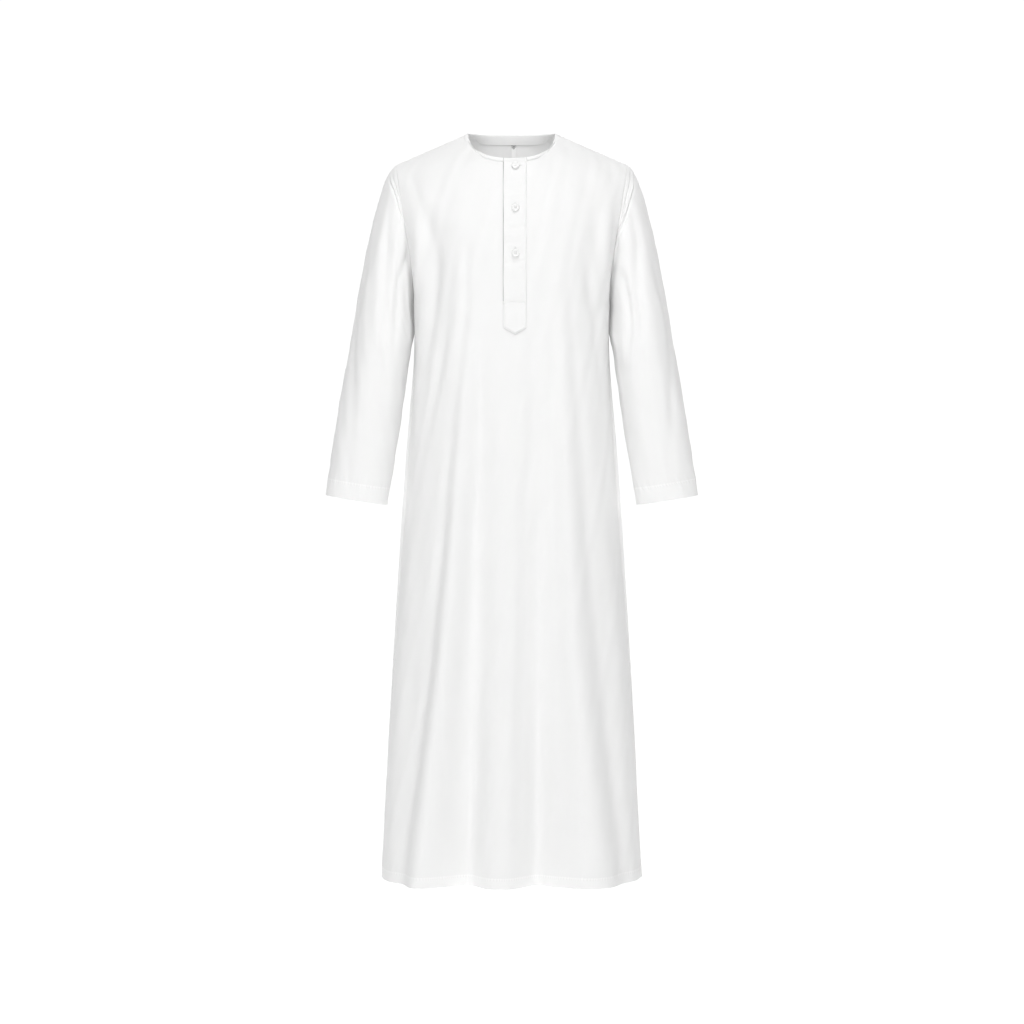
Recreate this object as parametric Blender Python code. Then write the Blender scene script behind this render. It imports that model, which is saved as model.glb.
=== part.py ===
"""A man's long straight robe: round collarless neck, three-button placket, set-in sleeves.

Metres, +Z up. The wearer faces -Y, so +X is the wearer's left. The origin lies midway between the
shoulders, at the middle height of the shoulder seams, where the robe rests on its wearer.

The cloth is filled out as if worn. Each sewn piece is a wall of even thickness, made in three steps:
a grid of points on its middle surface, soft folds that push those points along the surface's normals,
and an outer and an inner layer at half a cloth's thickness from them. Two pieces that are sewn together
share their seam's points, and each is drawn back from the seam by half the gap.
"""

import math
from collections import namedtuple

import bpy
import numpy as np
from mathutils import Matrix

# Cloth
CLOTH = 0.0012                 # one layer
TAPE = 0.0010                  # the neck binding's cloth and the hanging loop's tape
SEAM_GAP = 0.0003              # between pieces that are sewn together
UNDERARM_EASE = 0.0006         # added to it where the sleeve folds back against the body
HEM_TURN_UP = 0.020            # hem folded up inside
CUFF_TURN_UP = 0.032           # sleeve end folded up inside
TURN_UP_STEP = 0.001           # height over which the folded-up layer ends

# Shoulders, neck and armholes
NECK_HALF_WIDTH = 0.083
NECK_SIDE_HEIGHT = 0.035       # where the shoulder seam meets the neck
NECK_FRONT_DEPTH = 0.078       # forward reach of the front neck edge
NECK_FRONT_RISE = -0.051
NECK_FRONT_POWER = 2.3         # superellipse power of the neck's outline
NECK_BACK_DEPTH = 0.072
NECK_BACK_RISE = 0.0015
NECK_BACK_POWER = 2.2
SHOULDER_HALF_WIDTH = 0.219
SHOULDER_END_HEIGHT = -0.024
UNDERARM_HEIGHT = -0.289
HEM_HEIGHT = -1.3725
NECK_SHARE = 0.40              # share of each half panel, from its centre, that ends at the neck edge

# Without a neck edge, the panels would meet on a ridge that goes on from the shoulder seams.
RIDGE_HEIGHT = 0.052           # of that ridge, on the centre line

# Body, level by level: half-width at the side seams, reach forward and back from them, and the
# superellipse power that squares the outline.
Level = namedtuple("Level", "height half_width front back front_power back_power")
BODY_LEVELS = (
    Level(-0.289, 0.1835, 0.122, 0.110, 2.35, 2.30),
    Level(-0.374, 0.1860, 0.125, 0.106, 2.35, 2.30),
    Level(-0.564, 0.2000, 0.132, 0.104, 2.30, 2.25),
    Level(-0.735, 0.2110, 0.137, 0.121, 2.25, 2.25),
    Level(-0.944, 0.2232, 0.146, 0.132, 2.20, 2.20),
    Level(-1.115, 0.2335, 0.155, 0.140, 2.15, 2.15),
    Level(-1.3725, 0.2485, 0.166, 0.150, 2.10, 2.10),
)

# How each panel leaves the underarm level and arrives at its top edge, from the armhole (0) to the
# centre line (1): away from the centre, away from the shoulder plane, and up.
Lift = namedtuple("Lift", "from_side start_out start_away start_up end_out end_away end_up")
FRONT_LIFTS = (
    Lift(0.00, -0.02, 0.28, 0.10, 0.02, -0.25, 0.15),
    Lift(0.12, 0.00, 0.12, 0.22, 0.03, -0.29, 0.13),
    Lift(0.30, 0.00, 0.02, 0.29, 0.03, -0.34, 0.13),
    Lift(0.60, 0.00, 0.00, 0.30, 0.00, -0.38, 0.22),
    Lift(1.00, 0.00, 0.02, 0.28, 0.00, -0.43, 0.49),
)
BACK_LIFTS = (
    Lift(0.00, -0.02, 0.26, 0.10, 0.02, -0.23, 0.15),
    Lift(0.12, 0.00, 0.12, 0.22, 0.03, -0.28, 0.12),
    Lift(0.30, 0.00, 0.03, 0.29, 0.03, -0.32, 0.09),
    Lift(0.60, 0.00, 0.03, 0.31, 0.00, -0.32, 0.10),
    Lift(1.00, 0.00, 0.03, 0.33, 0.00, -0.33, 0.36),
)

# Folds that fall down the body. A negative depth is a valley. They run from `top` to `bottom` at the
# places x across the panel, and grow evenly on the way.
Fold = namedtuple(
    "Fold", "name top bottom x_top x_middle x_bottom width_top width_bottom depth_top depth_bottom"
)
FRONT_FOLDS = (
    Fold("right_crest", -0.20, -1.40, -0.082, -0.112, -0.168, 0.018, 0.036, 0.002, 0.038),
    Fold("right_valley", -0.25, -1.40, -0.050, -0.066, -0.095, 0.020, 0.036, 0.000, -0.052),
    Fold("left_valley", -0.25, -1.40, 0.055, 0.053, 0.054, 0.020, 0.036, 0.000, -0.060),
    Fold("left_crest", -0.20, -1.40, 0.091, 0.106, 0.160, 0.018, 0.042, 0.002, 0.038),
    Fold("right_side_trough", -0.17, -1.40, -0.092, -0.140, -0.196, 0.012, 0.016, -0.004, -0.006),
    Fold("left_side_trough", -0.17, -1.40, 0.100, 0.140, 0.203, 0.012, 0.016, -0.004, -0.006),
    Fold("right_chest_trough", -0.16, -0.66, -0.119, -0.150, -0.170, 0.011, 0.012, -0.005, -0.002),
    Fold("right_arm_trough", -0.16, -0.50, -0.142, -0.162, -0.178, 0.011, 0.012, -0.005, -0.002),
    Fold("left_chest_trough", -0.16, -0.60, 0.138, 0.160, 0.174, 0.011, 0.012, -0.005, -0.002),
)
BACK_FOLDS = (
    Fold("back_right_crest", -0.55, -1.40, -0.105, -0.120, -0.160, 0.024, 0.040, 0.000, 0.032),
    Fold("back_right_valley", -0.50, -1.40, -0.050, -0.062, -0.082, 0.022, 0.038, 0.000, -0.038),
    Fold("back_left_valley", -0.45, -1.40, 0.046, 0.056, 0.070, 0.022, 0.036, 0.000, -0.034),
    Fold("back_left_crest", -0.55, -1.40, 0.100, 0.118, 0.148, 0.024, 0.040, 0.000, 0.030),
    Fold("back_waist_trough", -0.30, -0.80, 0.010, -0.004, -0.010, 0.018, 0.022, -0.004, -0.003),
)

# Sleeves. A turn of 0 is the top or outer side, 0.25 the front, 0.5 the underarm, 0.75 the back.
# How the cloth leaves the armhole: out from the body, forward and down.
Leave = namedtuple("Leave", "turn out forward down")
SLEEVE_LEAVES = (
    Leave(0.000, 0.100, 0.000, 0.040),
    Leave(0.125, 0.060, 0.040, 0.080),
    Leave(0.250, 0.025, 0.045, 0.090),
    Leave(0.375, 0.050, 0.020, 0.050),
    Leave(0.500, 0.060, 0.000, 0.020),
    Leave(0.625, 0.050, -0.020, 0.050),
    Leave(0.750, 0.025, -0.045, 0.090),
    Leave(0.875, 0.060, -0.040, 0.080),
    Leave(1.000, 0.100, 0.000, 0.040),
)
ARRIVE_PULL = 0.95             # pull along the sleeve at the upper ring, as a share of the way there
UPPER_RING = (0.2515, 0.000, -0.365)      # centre of the ring below the underarm, for +X
CUFF_RING = (0.2975, -0.012, -0.6555)     # centre of the sleeve's open end
Ring = namedtuple("Ring", "share half_width half_depth")
SLEEVE_RINGS = (
    Ring(0.0, 0.0575, 0.076),
    Ring(0.5, 0.0600, 0.056),
    Ring(1.0, 0.0600, 0.037),
)
SleeveFold = namedtuple(
    "SleeveFold", "name top bottom turn_top turn_bottom width_top width_bottom depth_top depth_bottom"
)
RIGHT_SLEEVE_FOLDS = (
    SleeveFold("main", -0.10, -0.42, 0.13, 0.32, 0.030, 0.026, -0.006, -0.006),
    SleeveFold("second", -0.13, -0.34, 0.31, 0.33, 0.024, 0.022, -0.004, -0.005),
    SleeveFold("outer", -0.20, -0.62, 0.09, 0.20, 0.030, 0.030, -0.003, -0.003),
    SleeveFold("back", -0.16, -0.50, 0.85, 0.70, 0.030, 0.026, -0.006, -0.005),
    SleeveFold("underarm", -0.285, -0.37, 0.42, 0.43, 0.050, 0.040, 0.008, 0.006),
)
LEFT_SLEEVE_FOLDS = (
    SleeveFold("main", -0.06, -0.42, 0.15, 0.30, 0.028, 0.028, -0.006, -0.006),
    SleeveFold("second", -0.22, -0.37, 0.27, 0.33, 0.022, 0.022, -0.004, -0.005),
    SleeveFold("outer", -0.20, -0.60, 0.09, 0.19, 0.030, 0.030, -0.003, -0.003),
    SleeveFold("back", -0.14, -0.48, 0.87, 0.72, 0.028, 0.026, -0.006, -0.005),
    SleeveFold("underarm", -0.285, -0.37, 0.42, 0.43, 0.050, 0.040, 0.008, 0.006),
)
FOLD_FADE = 0.060              # length over which a fold begins and ends
SIDE_FADE = 0.10               # share of the half panel over which folds die out at the side seam

# Placket and buttons
PLACKET_CENTRE = 0.006
PLACKET_HALF_WIDTH = 0.022
PLACKET_SHOULDER_HEIGHT = -0.333          # where the pointed end begins
PLACKET_TIP_HEIGHT = -0.346
PLACKET_THICK = 0.0018                    # two folded layers
UNDERLAP_THICK = 0.0016
SLIT_HALF_WIDTH = 0.0005
BUTTON_CENTRE = 0.007
BUTTON_HEIGHTS = (("button_top", -0.029), ("button_middle", -0.111), ("button_bottom", -0.195))
BUTTON_RADIUS = 0.0076
BUTTON_THICK = 0.0028
BUTTON_SIDES = 32
# The button's outline from its back to its dished front: distance from the axis, height.
BUTTON_OUTLINE = (
    (BUTTON_RADIUS - 0.0009, 0.0),
    (BUTTON_RADIUS, 0.0009),
    (BUTTON_RADIUS, BUTTON_THICK - 0.0007),
    (BUTTON_RADIUS - 0.0007, BUTTON_THICK),
    (BUTTON_RADIUS - 0.0015, BUTTON_THICK),
    (BUTTON_RADIUS - 0.0025, BUTTON_THICK - 0.0006),
)
BUTTON_HOLE_RADIUS = 0.0008
BUTTON_HOLE_REACH = 0.0013                # from the button's axis, across and up
BUTTON_HOLE_SIDES = 12

# Binding of the neck edge, and the loop inside at the centre back
LAY_GAP = 0.0006                          # between a panel and what lies on it
BAND_DEPTH = 0.007                        # down from the neck edge to the panels
BAND_TOP = 0.0012                         # the binding's fold, above the neck edge
BAND_ROUNDING = 0.0009
BAND_GAP = 0.0020                         # between the band and the panels
BAND_END_GAP = 0.0010                     # between the band's ends and the placket
LOOP_CENTRE = 0.0037
LOOP_HALF_WIDTH = 0.0045
LOOP_TOP = 0.0113                         # below the band
LOOP_LENGTH = 0.050
LOOP_OPENING = 0.0003                     # between the loop's two layers where they are sewn in
LOOP_BULGE = 0.0024                       # added to it at the lower end
LOOP_ROWS = 6
LOOP_TURN_STEPS = 5

# Grid of the panels
SIDE_COLUMNS = 10              # between the side seam or armhole and the neck's side
BACK_NECK_COLUMNS = 12
FRONT_NECK_COLUMNS = 5         # on each side of the placket
LOWER_ROWS = (-1.20, -1.04, -0.89, -0.75, -0.62, -0.50, -0.42)
UPPER_SHARES = (0.0, 0.06, 0.15, 0.26, 0.38, 0.50, 0.62, 0.74, 0.84, 0.92, 1.0)
SLEEVE_LOFT_SHARES = (0.0, 0.07, 0.15, 0.26, 0.40, 0.57, 0.78)
SLEEVE_STRAIGHT_SHARES = (0.0, 0.22, 0.45, 0.68)
CURVE_SAMPLES = 240
CALMING_ROUNDS = 2
EVENING_ROUNDS = 60

# Finishes: colour and roughness
CLOTH_FINISH = ((0.86, 0.86, 0.85), 0.85)
TAPE_FINISH = ((0.88, 0.88, 0.87), 0.75)
BUTTON_FINISH = ((0.84, 0.84, 0.83), 0.35)

FRONT, BACK = -1, 1            # sign of Y on each side of the shoulder plane
HALF = CLOTH / 2


# ---------------------------------------------------------------- curves and tables

def hermite(start, start_pull, end, end_pull, share):
    """Cubic curves from start to end, whose velocities at the ends are the pulls."""
    t = np.asarray(share, float)[..., None]
    return (
        (2 * t**3 - 3 * t**2 + 1) * start
        + (t**3 - 2 * t**2 + t) * start_pull
        + (3 * t**2 - 2 * t**3) * end
        + (t**3 - t**2) * end_pull
    )


def read(table, at):
    """The table's other columns at values of its first, on a smooth curve through its rows."""
    rows = np.array(sorted(table), float)
    keys, values = rows[:, 0], rows[:, 1:]
    at = np.clip(np.asarray(at, float), keys[0], keys[-1])
    slopes = np.gradient(values, keys, axis=0)
    low = np.clip(np.searchsorted(keys, at, side="right") - 1, 0, len(keys) - 2)
    span = keys[low + 1] - keys[low]
    scale = span[..., None]
    share = (at - keys[low]) / span
    return hermite(values[low], slopes[low] * scale, values[low + 1], slopes[low + 1] * scale, share)


def smooth_step(value):
    value = np.clip(value, 0.0, 1.0)
    return value * value * (3 - 2 * value)


def spread(points, shares):
    """Points at the given shares of a polyline's length."""
    lengths = np.linalg.norm(np.diff(points, axis=0), axis=1)
    along = np.concatenate([[0.0], np.cumsum(lengths)])
    wanted = np.asarray(shares) * along[-1]
    return np.stack([np.interp(wanted, along, points[:, axis]) for axis in range(3)], axis=-1)


def unit(vectors):
    return vectors / np.linalg.norm(vectors, axis=-1, keepdims=True)


def superellipse_quarter(reach_x, reach_y, power):
    """From (reach_x, 0) to (0, reach_y)."""
    angle = np.linspace(0, math.pi / 2, CURVE_SAMPLES)
    x = reach_x * np.cos(angle).clip(0) ** (2 / power)
    y = reach_y * np.sin(angle).clip(0) ** (2 / power)
    return x, y


# ---------------------------------------------------------------- body panels

def body_section(height, side, across):
    """Points of one body level. across runs from -1 at the -X side seam to 1 at the +X side seam."""
    half_width, front, back, front_power, back_power = read(BODY_LEVELS, height)
    reach = front if side == FRONT else back
    power = front_power if side == FRONT else back_power
    x, y = superellipse_quarter(half_width, reach, power)
    quarter = np.stack([x, side * y, np.full_like(x, height)], axis=-1)
    points = spread(quarter, 1 - np.abs(across))
    points[:, 0] *= np.where(across < 0, -1, 1)
    return points


def top_ridge(across):
    """Points along the shoulder seam, and along the ridge that would go on from it over the neck."""
    seam_end = np.array([SHOULDER_HALF_WIDTH, 0, SHOULDER_END_HEIGHT])
    neck_side = np.array([NECK_HALF_WIDTH, 0, NECK_SIDE_HEIGHT])
    slope = (NECK_SIDE_HEIGHT - SHOULDER_END_HEIGHT) / (SHOULDER_HALF_WIDTH - NECK_HALF_WIDTH)
    from_centre = np.abs(across)
    along_seam = ((from_centre - NECK_SHARE) / (1 - NECK_SHARE)).clip(0, 1)[:, None]
    points = neck_side + (seam_end - neck_side) * along_seam
    over_neck = 1 - (from_centre / NECK_SHARE).clip(0, 1)
    straight_rise = slope * NECK_HALF_WIDTH
    bend = RIDGE_HEIGHT - NECK_SIDE_HEIGHT - straight_rise
    points[:, 0] -= NECK_HALF_WIDTH * over_neck
    points[:, 2] += straight_rise * over_neck + bend * over_neck**2
    points[:, 0] *= np.where(across < 0, -1, 1)
    return points


def neck_edge(side, across):
    """Points of the neck edge above the places |across| < NECK_SHARE."""
    front = side == FRONT
    depth = NECK_FRONT_DEPTH if front else NECK_BACK_DEPTH
    rise = NECK_FRONT_RISE if front else NECK_BACK_RISE
    power = NECK_FRONT_POWER if front else NECK_BACK_POWER
    outward = (np.abs(across) / NECK_SHARE).clip(0, 1)
    x = np.sign(across) * NECK_HALF_WIDTH * outward ** (2 / power)
    inward = np.sqrt(1 - outward**2) ** (2 / power)
    return np.stack([x, side * depth * inward, NECK_SIDE_HEIGHT + rise * inward], axis=-1)


def upper_panel(side, across, shares):
    """Rows from the underarm level (share 0) to the shoulder seams and the neck edge (share 1).

    The panel rises to the ridge. Near its top it is drawn from the ridge to the neck edge, by a
    weight that is 0 at half height. The further down, the more the drawing is evened out across the
    panel, so that the corner at the neck's side leaves no crease."""
    lifts = read(FRONT_LIFTS if side == FRONT else BACK_LIFTS, 1 - np.abs(across))
    outward = np.where(across < 0, -1, 1)
    starts = np.stack([outward * lifts[:, 0], side * lifts[:, 1], lifts[:, 2]], axis=-1)
    ends = np.stack([outward * lifts[:, 3], side * lifts[:, 4], lifts[:, 5]], axis=-1)
    bottom = body_section(UNDERARM_HEIGHT, side, across)
    ridge = top_ridge(across)
    at_neck = (np.abs(across) < NECK_SHARE)[:, None]
    to_neck = np.where(at_neck, neck_edge(side, across) - ridge, 0)
    return np.array([
        hermite(bottom, starts, ridge, ends, np.full(len(across), share))
        + evened(to_neck, round((1 - share) * EVENING_ROUNDS)) * share**2 * (2 * share - 1)
        for share in shares
    ])


def evened(values, rounds):
    """The values after each has been averaged with its neighbours so many times."""
    values = values.copy()
    for _ in range(rounds):
        values[1:-1] = (values[:-2] + 2 * values[1:-1] + values[2:]) / 4
    return values


def grid_normals(grid, closed=False):
    """Unit normals of a grid of points whose rows go up and whose columns go round, seen from outside."""
    if closed:
        padded = np.concatenate([grid[:, -1:], grid, grid[:, :1]], axis=1)
        along = np.gradient(padded, axis=1)[:, 1:-1]
    else:
        along = np.gradient(grid, axis=1)
    return unit(np.cross(along, np.gradient(grid, axis=0)))


def fold_push(folds, x, height):
    """How far the folds move cloth outwards at places x and heights."""
    push = np.zeros_like(x)
    for fold in folds:
        share = ((fold.top - height) / (fold.top - fold.bottom)).clip(0, 1)
        track = read(((0, fold.x_top), (0.5, fold.x_middle), (1, fold.x_bottom)), share)[..., 0]
        width = fold.width_top + (fold.width_bottom - fold.width_top) * share
        depth = fold.depth_top + (fold.depth_bottom - fold.depth_top) * share
        fade = smooth_step((fold.top - height) / FOLD_FADE) * smooth_step((height - fold.bottom) / FOLD_FADE)
        if fold.bottom < HEM_HEIGHT:
            fade = smooth_step((fold.top - height) / FOLD_FADE)
        push += depth * fade * np.exp(-(((x - track) / width) ** 2))
    return push


def body_panel(side, across):
    """Middle surface of the front or back, with its folds."""
    turn_up = (HEM_HEIGHT, HEM_HEIGHT + HEM_TURN_UP, HEM_HEIGHT + HEM_TURN_UP + TURN_UP_STEP)
    heights = turn_up + LOWER_ROWS + (PLACKET_TIP_HEIGHT, PLACKET_SHOULDER_HEIGHT)
    lower = np.array([body_section(height, side, across) for height in heights])
    grid = np.concatenate([lower, upper_panel(side, across, UPPER_SHARES)])
    folds = FRONT_FOLDS if side == FRONT else BACK_FOLDS
    push = fold_push(folds, grid[..., 0], grid[..., 2])
    push *= smooth_step((1 - np.abs(across)) / SIDE_FADE)
    return grid + grid_normals(grid) * push[..., None]


# ---------------------------------------------------------------- sleeves

def sleeve_surface(side_x, armhole, folds):
    """Middle surface of a sleeve, its rows going from the cuff up to the armhole's points."""
    turns = np.linspace(0, 1, len(armhole), endpoint=False)
    mirror = np.array([side_x, 1, 1])
    upper, cuff = np.array(UPPER_RING) * mirror, np.array(CUFF_RING) * mirror
    axis = unit(cuff - upper)
    outward = unit(np.cross(axis, (0, side_x, 0)))

    def ring(share):
        half_width, half_depth = read(SLEEVE_RINGS, share)
        angle = 2 * math.pi * turns[:, None]
        centre = upper + (cuff - upper) * share
        return centre + outward * half_width * np.cos(angle) - np.array([0, half_depth, 0]) * np.sin(angle)

    leaves = read(SLEEVE_LEAVES, turns)
    pulls = np.stack([side_x * leaves[:, 0], -leaves[:, 1], -leaves[:, 2]], axis=-1)
    first = ring(0.0)
    arrive = axis * np.linalg.norm(first - armhole, axis=1, keepdims=True) * ARRIVE_PULL
    loft = [
        hermite(armhole, pulls, first, arrive, np.full(len(turns), share))
        for share in SLEEVE_LOFT_SHARES
    ]
    length = np.linalg.norm(cuff - upper)
    ends = (1 - (CUFF_TURN_UP + TURN_UP_STEP) / length, 1 - CUFF_TURN_UP / length, 1.0)
    straight = [ring(share) for share in SLEEVE_STRAIGHT_SHARES + ends]
    grid = np.array(loft + straight)[::-1]
    if side_x > 0:
        grid, turns = grid[:, ::-1], turns[::-1]
    push = sleeve_fold_push(folds, turns, grid[..., 2])
    push[-1] = 0
    return grid + grid_normals(grid, closed=True) * push[..., None]


def sleeve_fold_push(folds, turns, height):
    push = np.zeros_like(height)
    for fold in folds:
        share = ((fold.top - height) / (fold.top - fold.bottom)).clip(0, 1)
        track = fold.turn_top + (fold.turn_bottom - fold.turn_top) * share
        width = fold.width_top + (fold.width_bottom - fold.width_top) * share
        depth = fold.depth_top + (fold.depth_bottom - fold.depth_top) * share
        fade = smooth_step((fold.top - height) / FOLD_FADE) * smooth_step((height - fold.bottom) / FOLD_FADE)
        push += depth * fade * np.exp(-(((turns - track) / width) ** 2))
    return push


# ---------------------------------------------------------------- seams

def draw_back(grid, normals, edge, rows=slice(None)):
    """Moves one edge of a grid towards its inside by half the seam gap. Returns the moved points."""
    row_edges = {"bottom": (0, 1), "top": (-1, -1)}
    moved = np.zeros_like(grid)
    if edge in row_edges:
        row, sign = row_edges[edge]
        tangent = unit(np.gradient(grid[row], axis=0))
        moved[row, rows] = (sign * np.cross(normals[row], tangent) * SEAM_GAP / 2)[rows]
    else:
        column, sign = (0, -1) if edge == "first" else (-1, 1)
        tangent = unit(np.gradient(grid[:, column], axis=0))
        moved[rows, column] = (sign * np.cross(normals[:, column], tangent) * SEAM_GAP / 2)[rows]
    return moved


# ---------------------------------------------------------------- solids

def wall(outer, inner, keep=None, closed=False):
    """Points and triangles of the closed wall between two grids of points.

    keep marks the cells that are cloth. Rows go up and columns go round, seen from outside."""
    rows, columns = outer.shape[:2]
    cells = columns if closed else columns - 1
    if keep is None:
        keep = np.ones((rows - 1, cells), bool)
    points = np.concatenate([outer.reshape(-1, 3), inner.reshape(-1, 3)])
    inside = rows * columns
    faces = []

    def corner(row, column):
        return row * columns + column % columns

    def kept(row, column):
        if closed:
            column %= cells
        return 0 <= row < rows - 1 and 0 <= column < cells and keep[row, column]

    for row in range(rows - 1):
        for column in range(cells):
            if not keep[row, column]:
                continue
            a, b = corner(row, column), corner(row, column + 1)
            d, c = corner(row + 1, column), corner(row + 1, column + 1)
            faces += [(a, b, c), (a, c, d)]
            faces += [(inside + a, inside + c, inside + b), (inside + a, inside + d, inside + c)]
            borders = (
                (row - 1, column, a, b), (row, column + 1, b, c),
                (row + 1, column, c, d), (row, column - 1, d, a),
            )
            for next_row, next_column, start, end in borders:
                if not kept(next_row, next_column):
                    faces += edge_faces(points, start, end, inside)
    return points, faces


def edge_faces(points, start, end, inside):
    """Two triangles across the wall's thickness. They are split from the outer point of the higher
    end, so that the edges of two pieces that are sewn together are split alike."""
    if points[start][2] > points[end][2]:
        return [(start, inside + start, inside + end), (start, inside + end, end)]
    return [(start, inside + start, end), (end, inside + start, inside + end)]


def add_solid(name, points, faces, finish):
    """An object whose mesh is the given triangles, without the points that no triangle uses."""
    used, index = np.unique(np.array(faces), return_inverse=True)
    mesh = bpy.data.meshes.new(name)
    mesh.from_pydata(np.array(points)[used].tolist(), [], index.reshape(-1, 3).tolist())
    mesh.validate()
    mesh.shade_smooth()
    mesh.set_sharp_from_angle(angle=math.radians(40))
    mesh.materials.append(new_look(name + "_look", finish))
    solid = bpy.data.objects.new(name, mesh)
    bpy.context.scene.collection.objects.link(solid)
    return solid


def new_look(name, finish):
    """A Principled material of a (colour, roughness) finish."""
    colour, roughness = finish
    look = bpy.data.materials.new(name)
    look.use_nodes = True
    shader = look.node_tree.nodes["Principled BSDF"]
    shader.inputs["Base Color"].default_value = (*colour, 1)
    shader.inputs["Roughness"].default_value = roughness
    shader.inputs["Metallic"].default_value = 0
    return look


# ---------------------------------------------------------------- the four large pieces

def front_columns():
    """Places across the front, with two columns at the slit and one at each edge of the placket."""
    half_girth = body_half_girth()
    left = [(PLACKET_CENTRE + offset) / half_girth for offset in (-PLACKET_HALF_WIDTH, -SLIT_HALF_WIDTH)]
    right = [(PLACKET_CENTRE + offset) / half_girth for offset in (SLIT_HALF_WIDTH, PLACKET_HALF_WIDTH)]
    side = np.linspace(1, NECK_SHARE, SIDE_COLUMNS + 1)
    near_right = -neck_columns(-left[0], FRONT_NECK_COLUMNS)[1:-1]
    near_left = neck_columns(right[1], FRONT_NECK_COLUMNS)[1:-1]
    return np.concatenate([-side, near_right, left, right, near_left[::-1], side[::-1]])


def neck_columns(end, count):
    """Places from the neck's side to the given end, closest together where the neck edge turns."""
    return NECK_SHARE * np.cos(np.linspace(0, math.acos(end / NECK_SHARE), count + 1))


def back_columns():
    """Places across the back, from the wearer's left to the right, so that they go on round the body."""
    side = np.linspace(1, NECK_SHARE, SIDE_COLUMNS + 1)
    neck = neck_columns(-NECK_SHARE, BACK_NECK_COLUMNS)[1:-1]
    return np.concatenate([side, neck, -side[::-1]])


def body_half_girth():
    """Length of cloth from the side seam to the centre front at the underarm level."""
    points = body_section(UNDERARM_HEIGHT, FRONT, np.linspace(0, 1, CURVE_SAMPLES))
    return np.linalg.norm(np.diff(points, axis=0), axis=1).sum()


def share_normals(places):
    """Gives the grid points that lie on one seam their average normal.

    places lists (normals, index) pairs of the pieces that meet there."""
    total = unit(sum(normals[index] for normals, index in places))
    for normals, index in places:
        normals[index] = total


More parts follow.
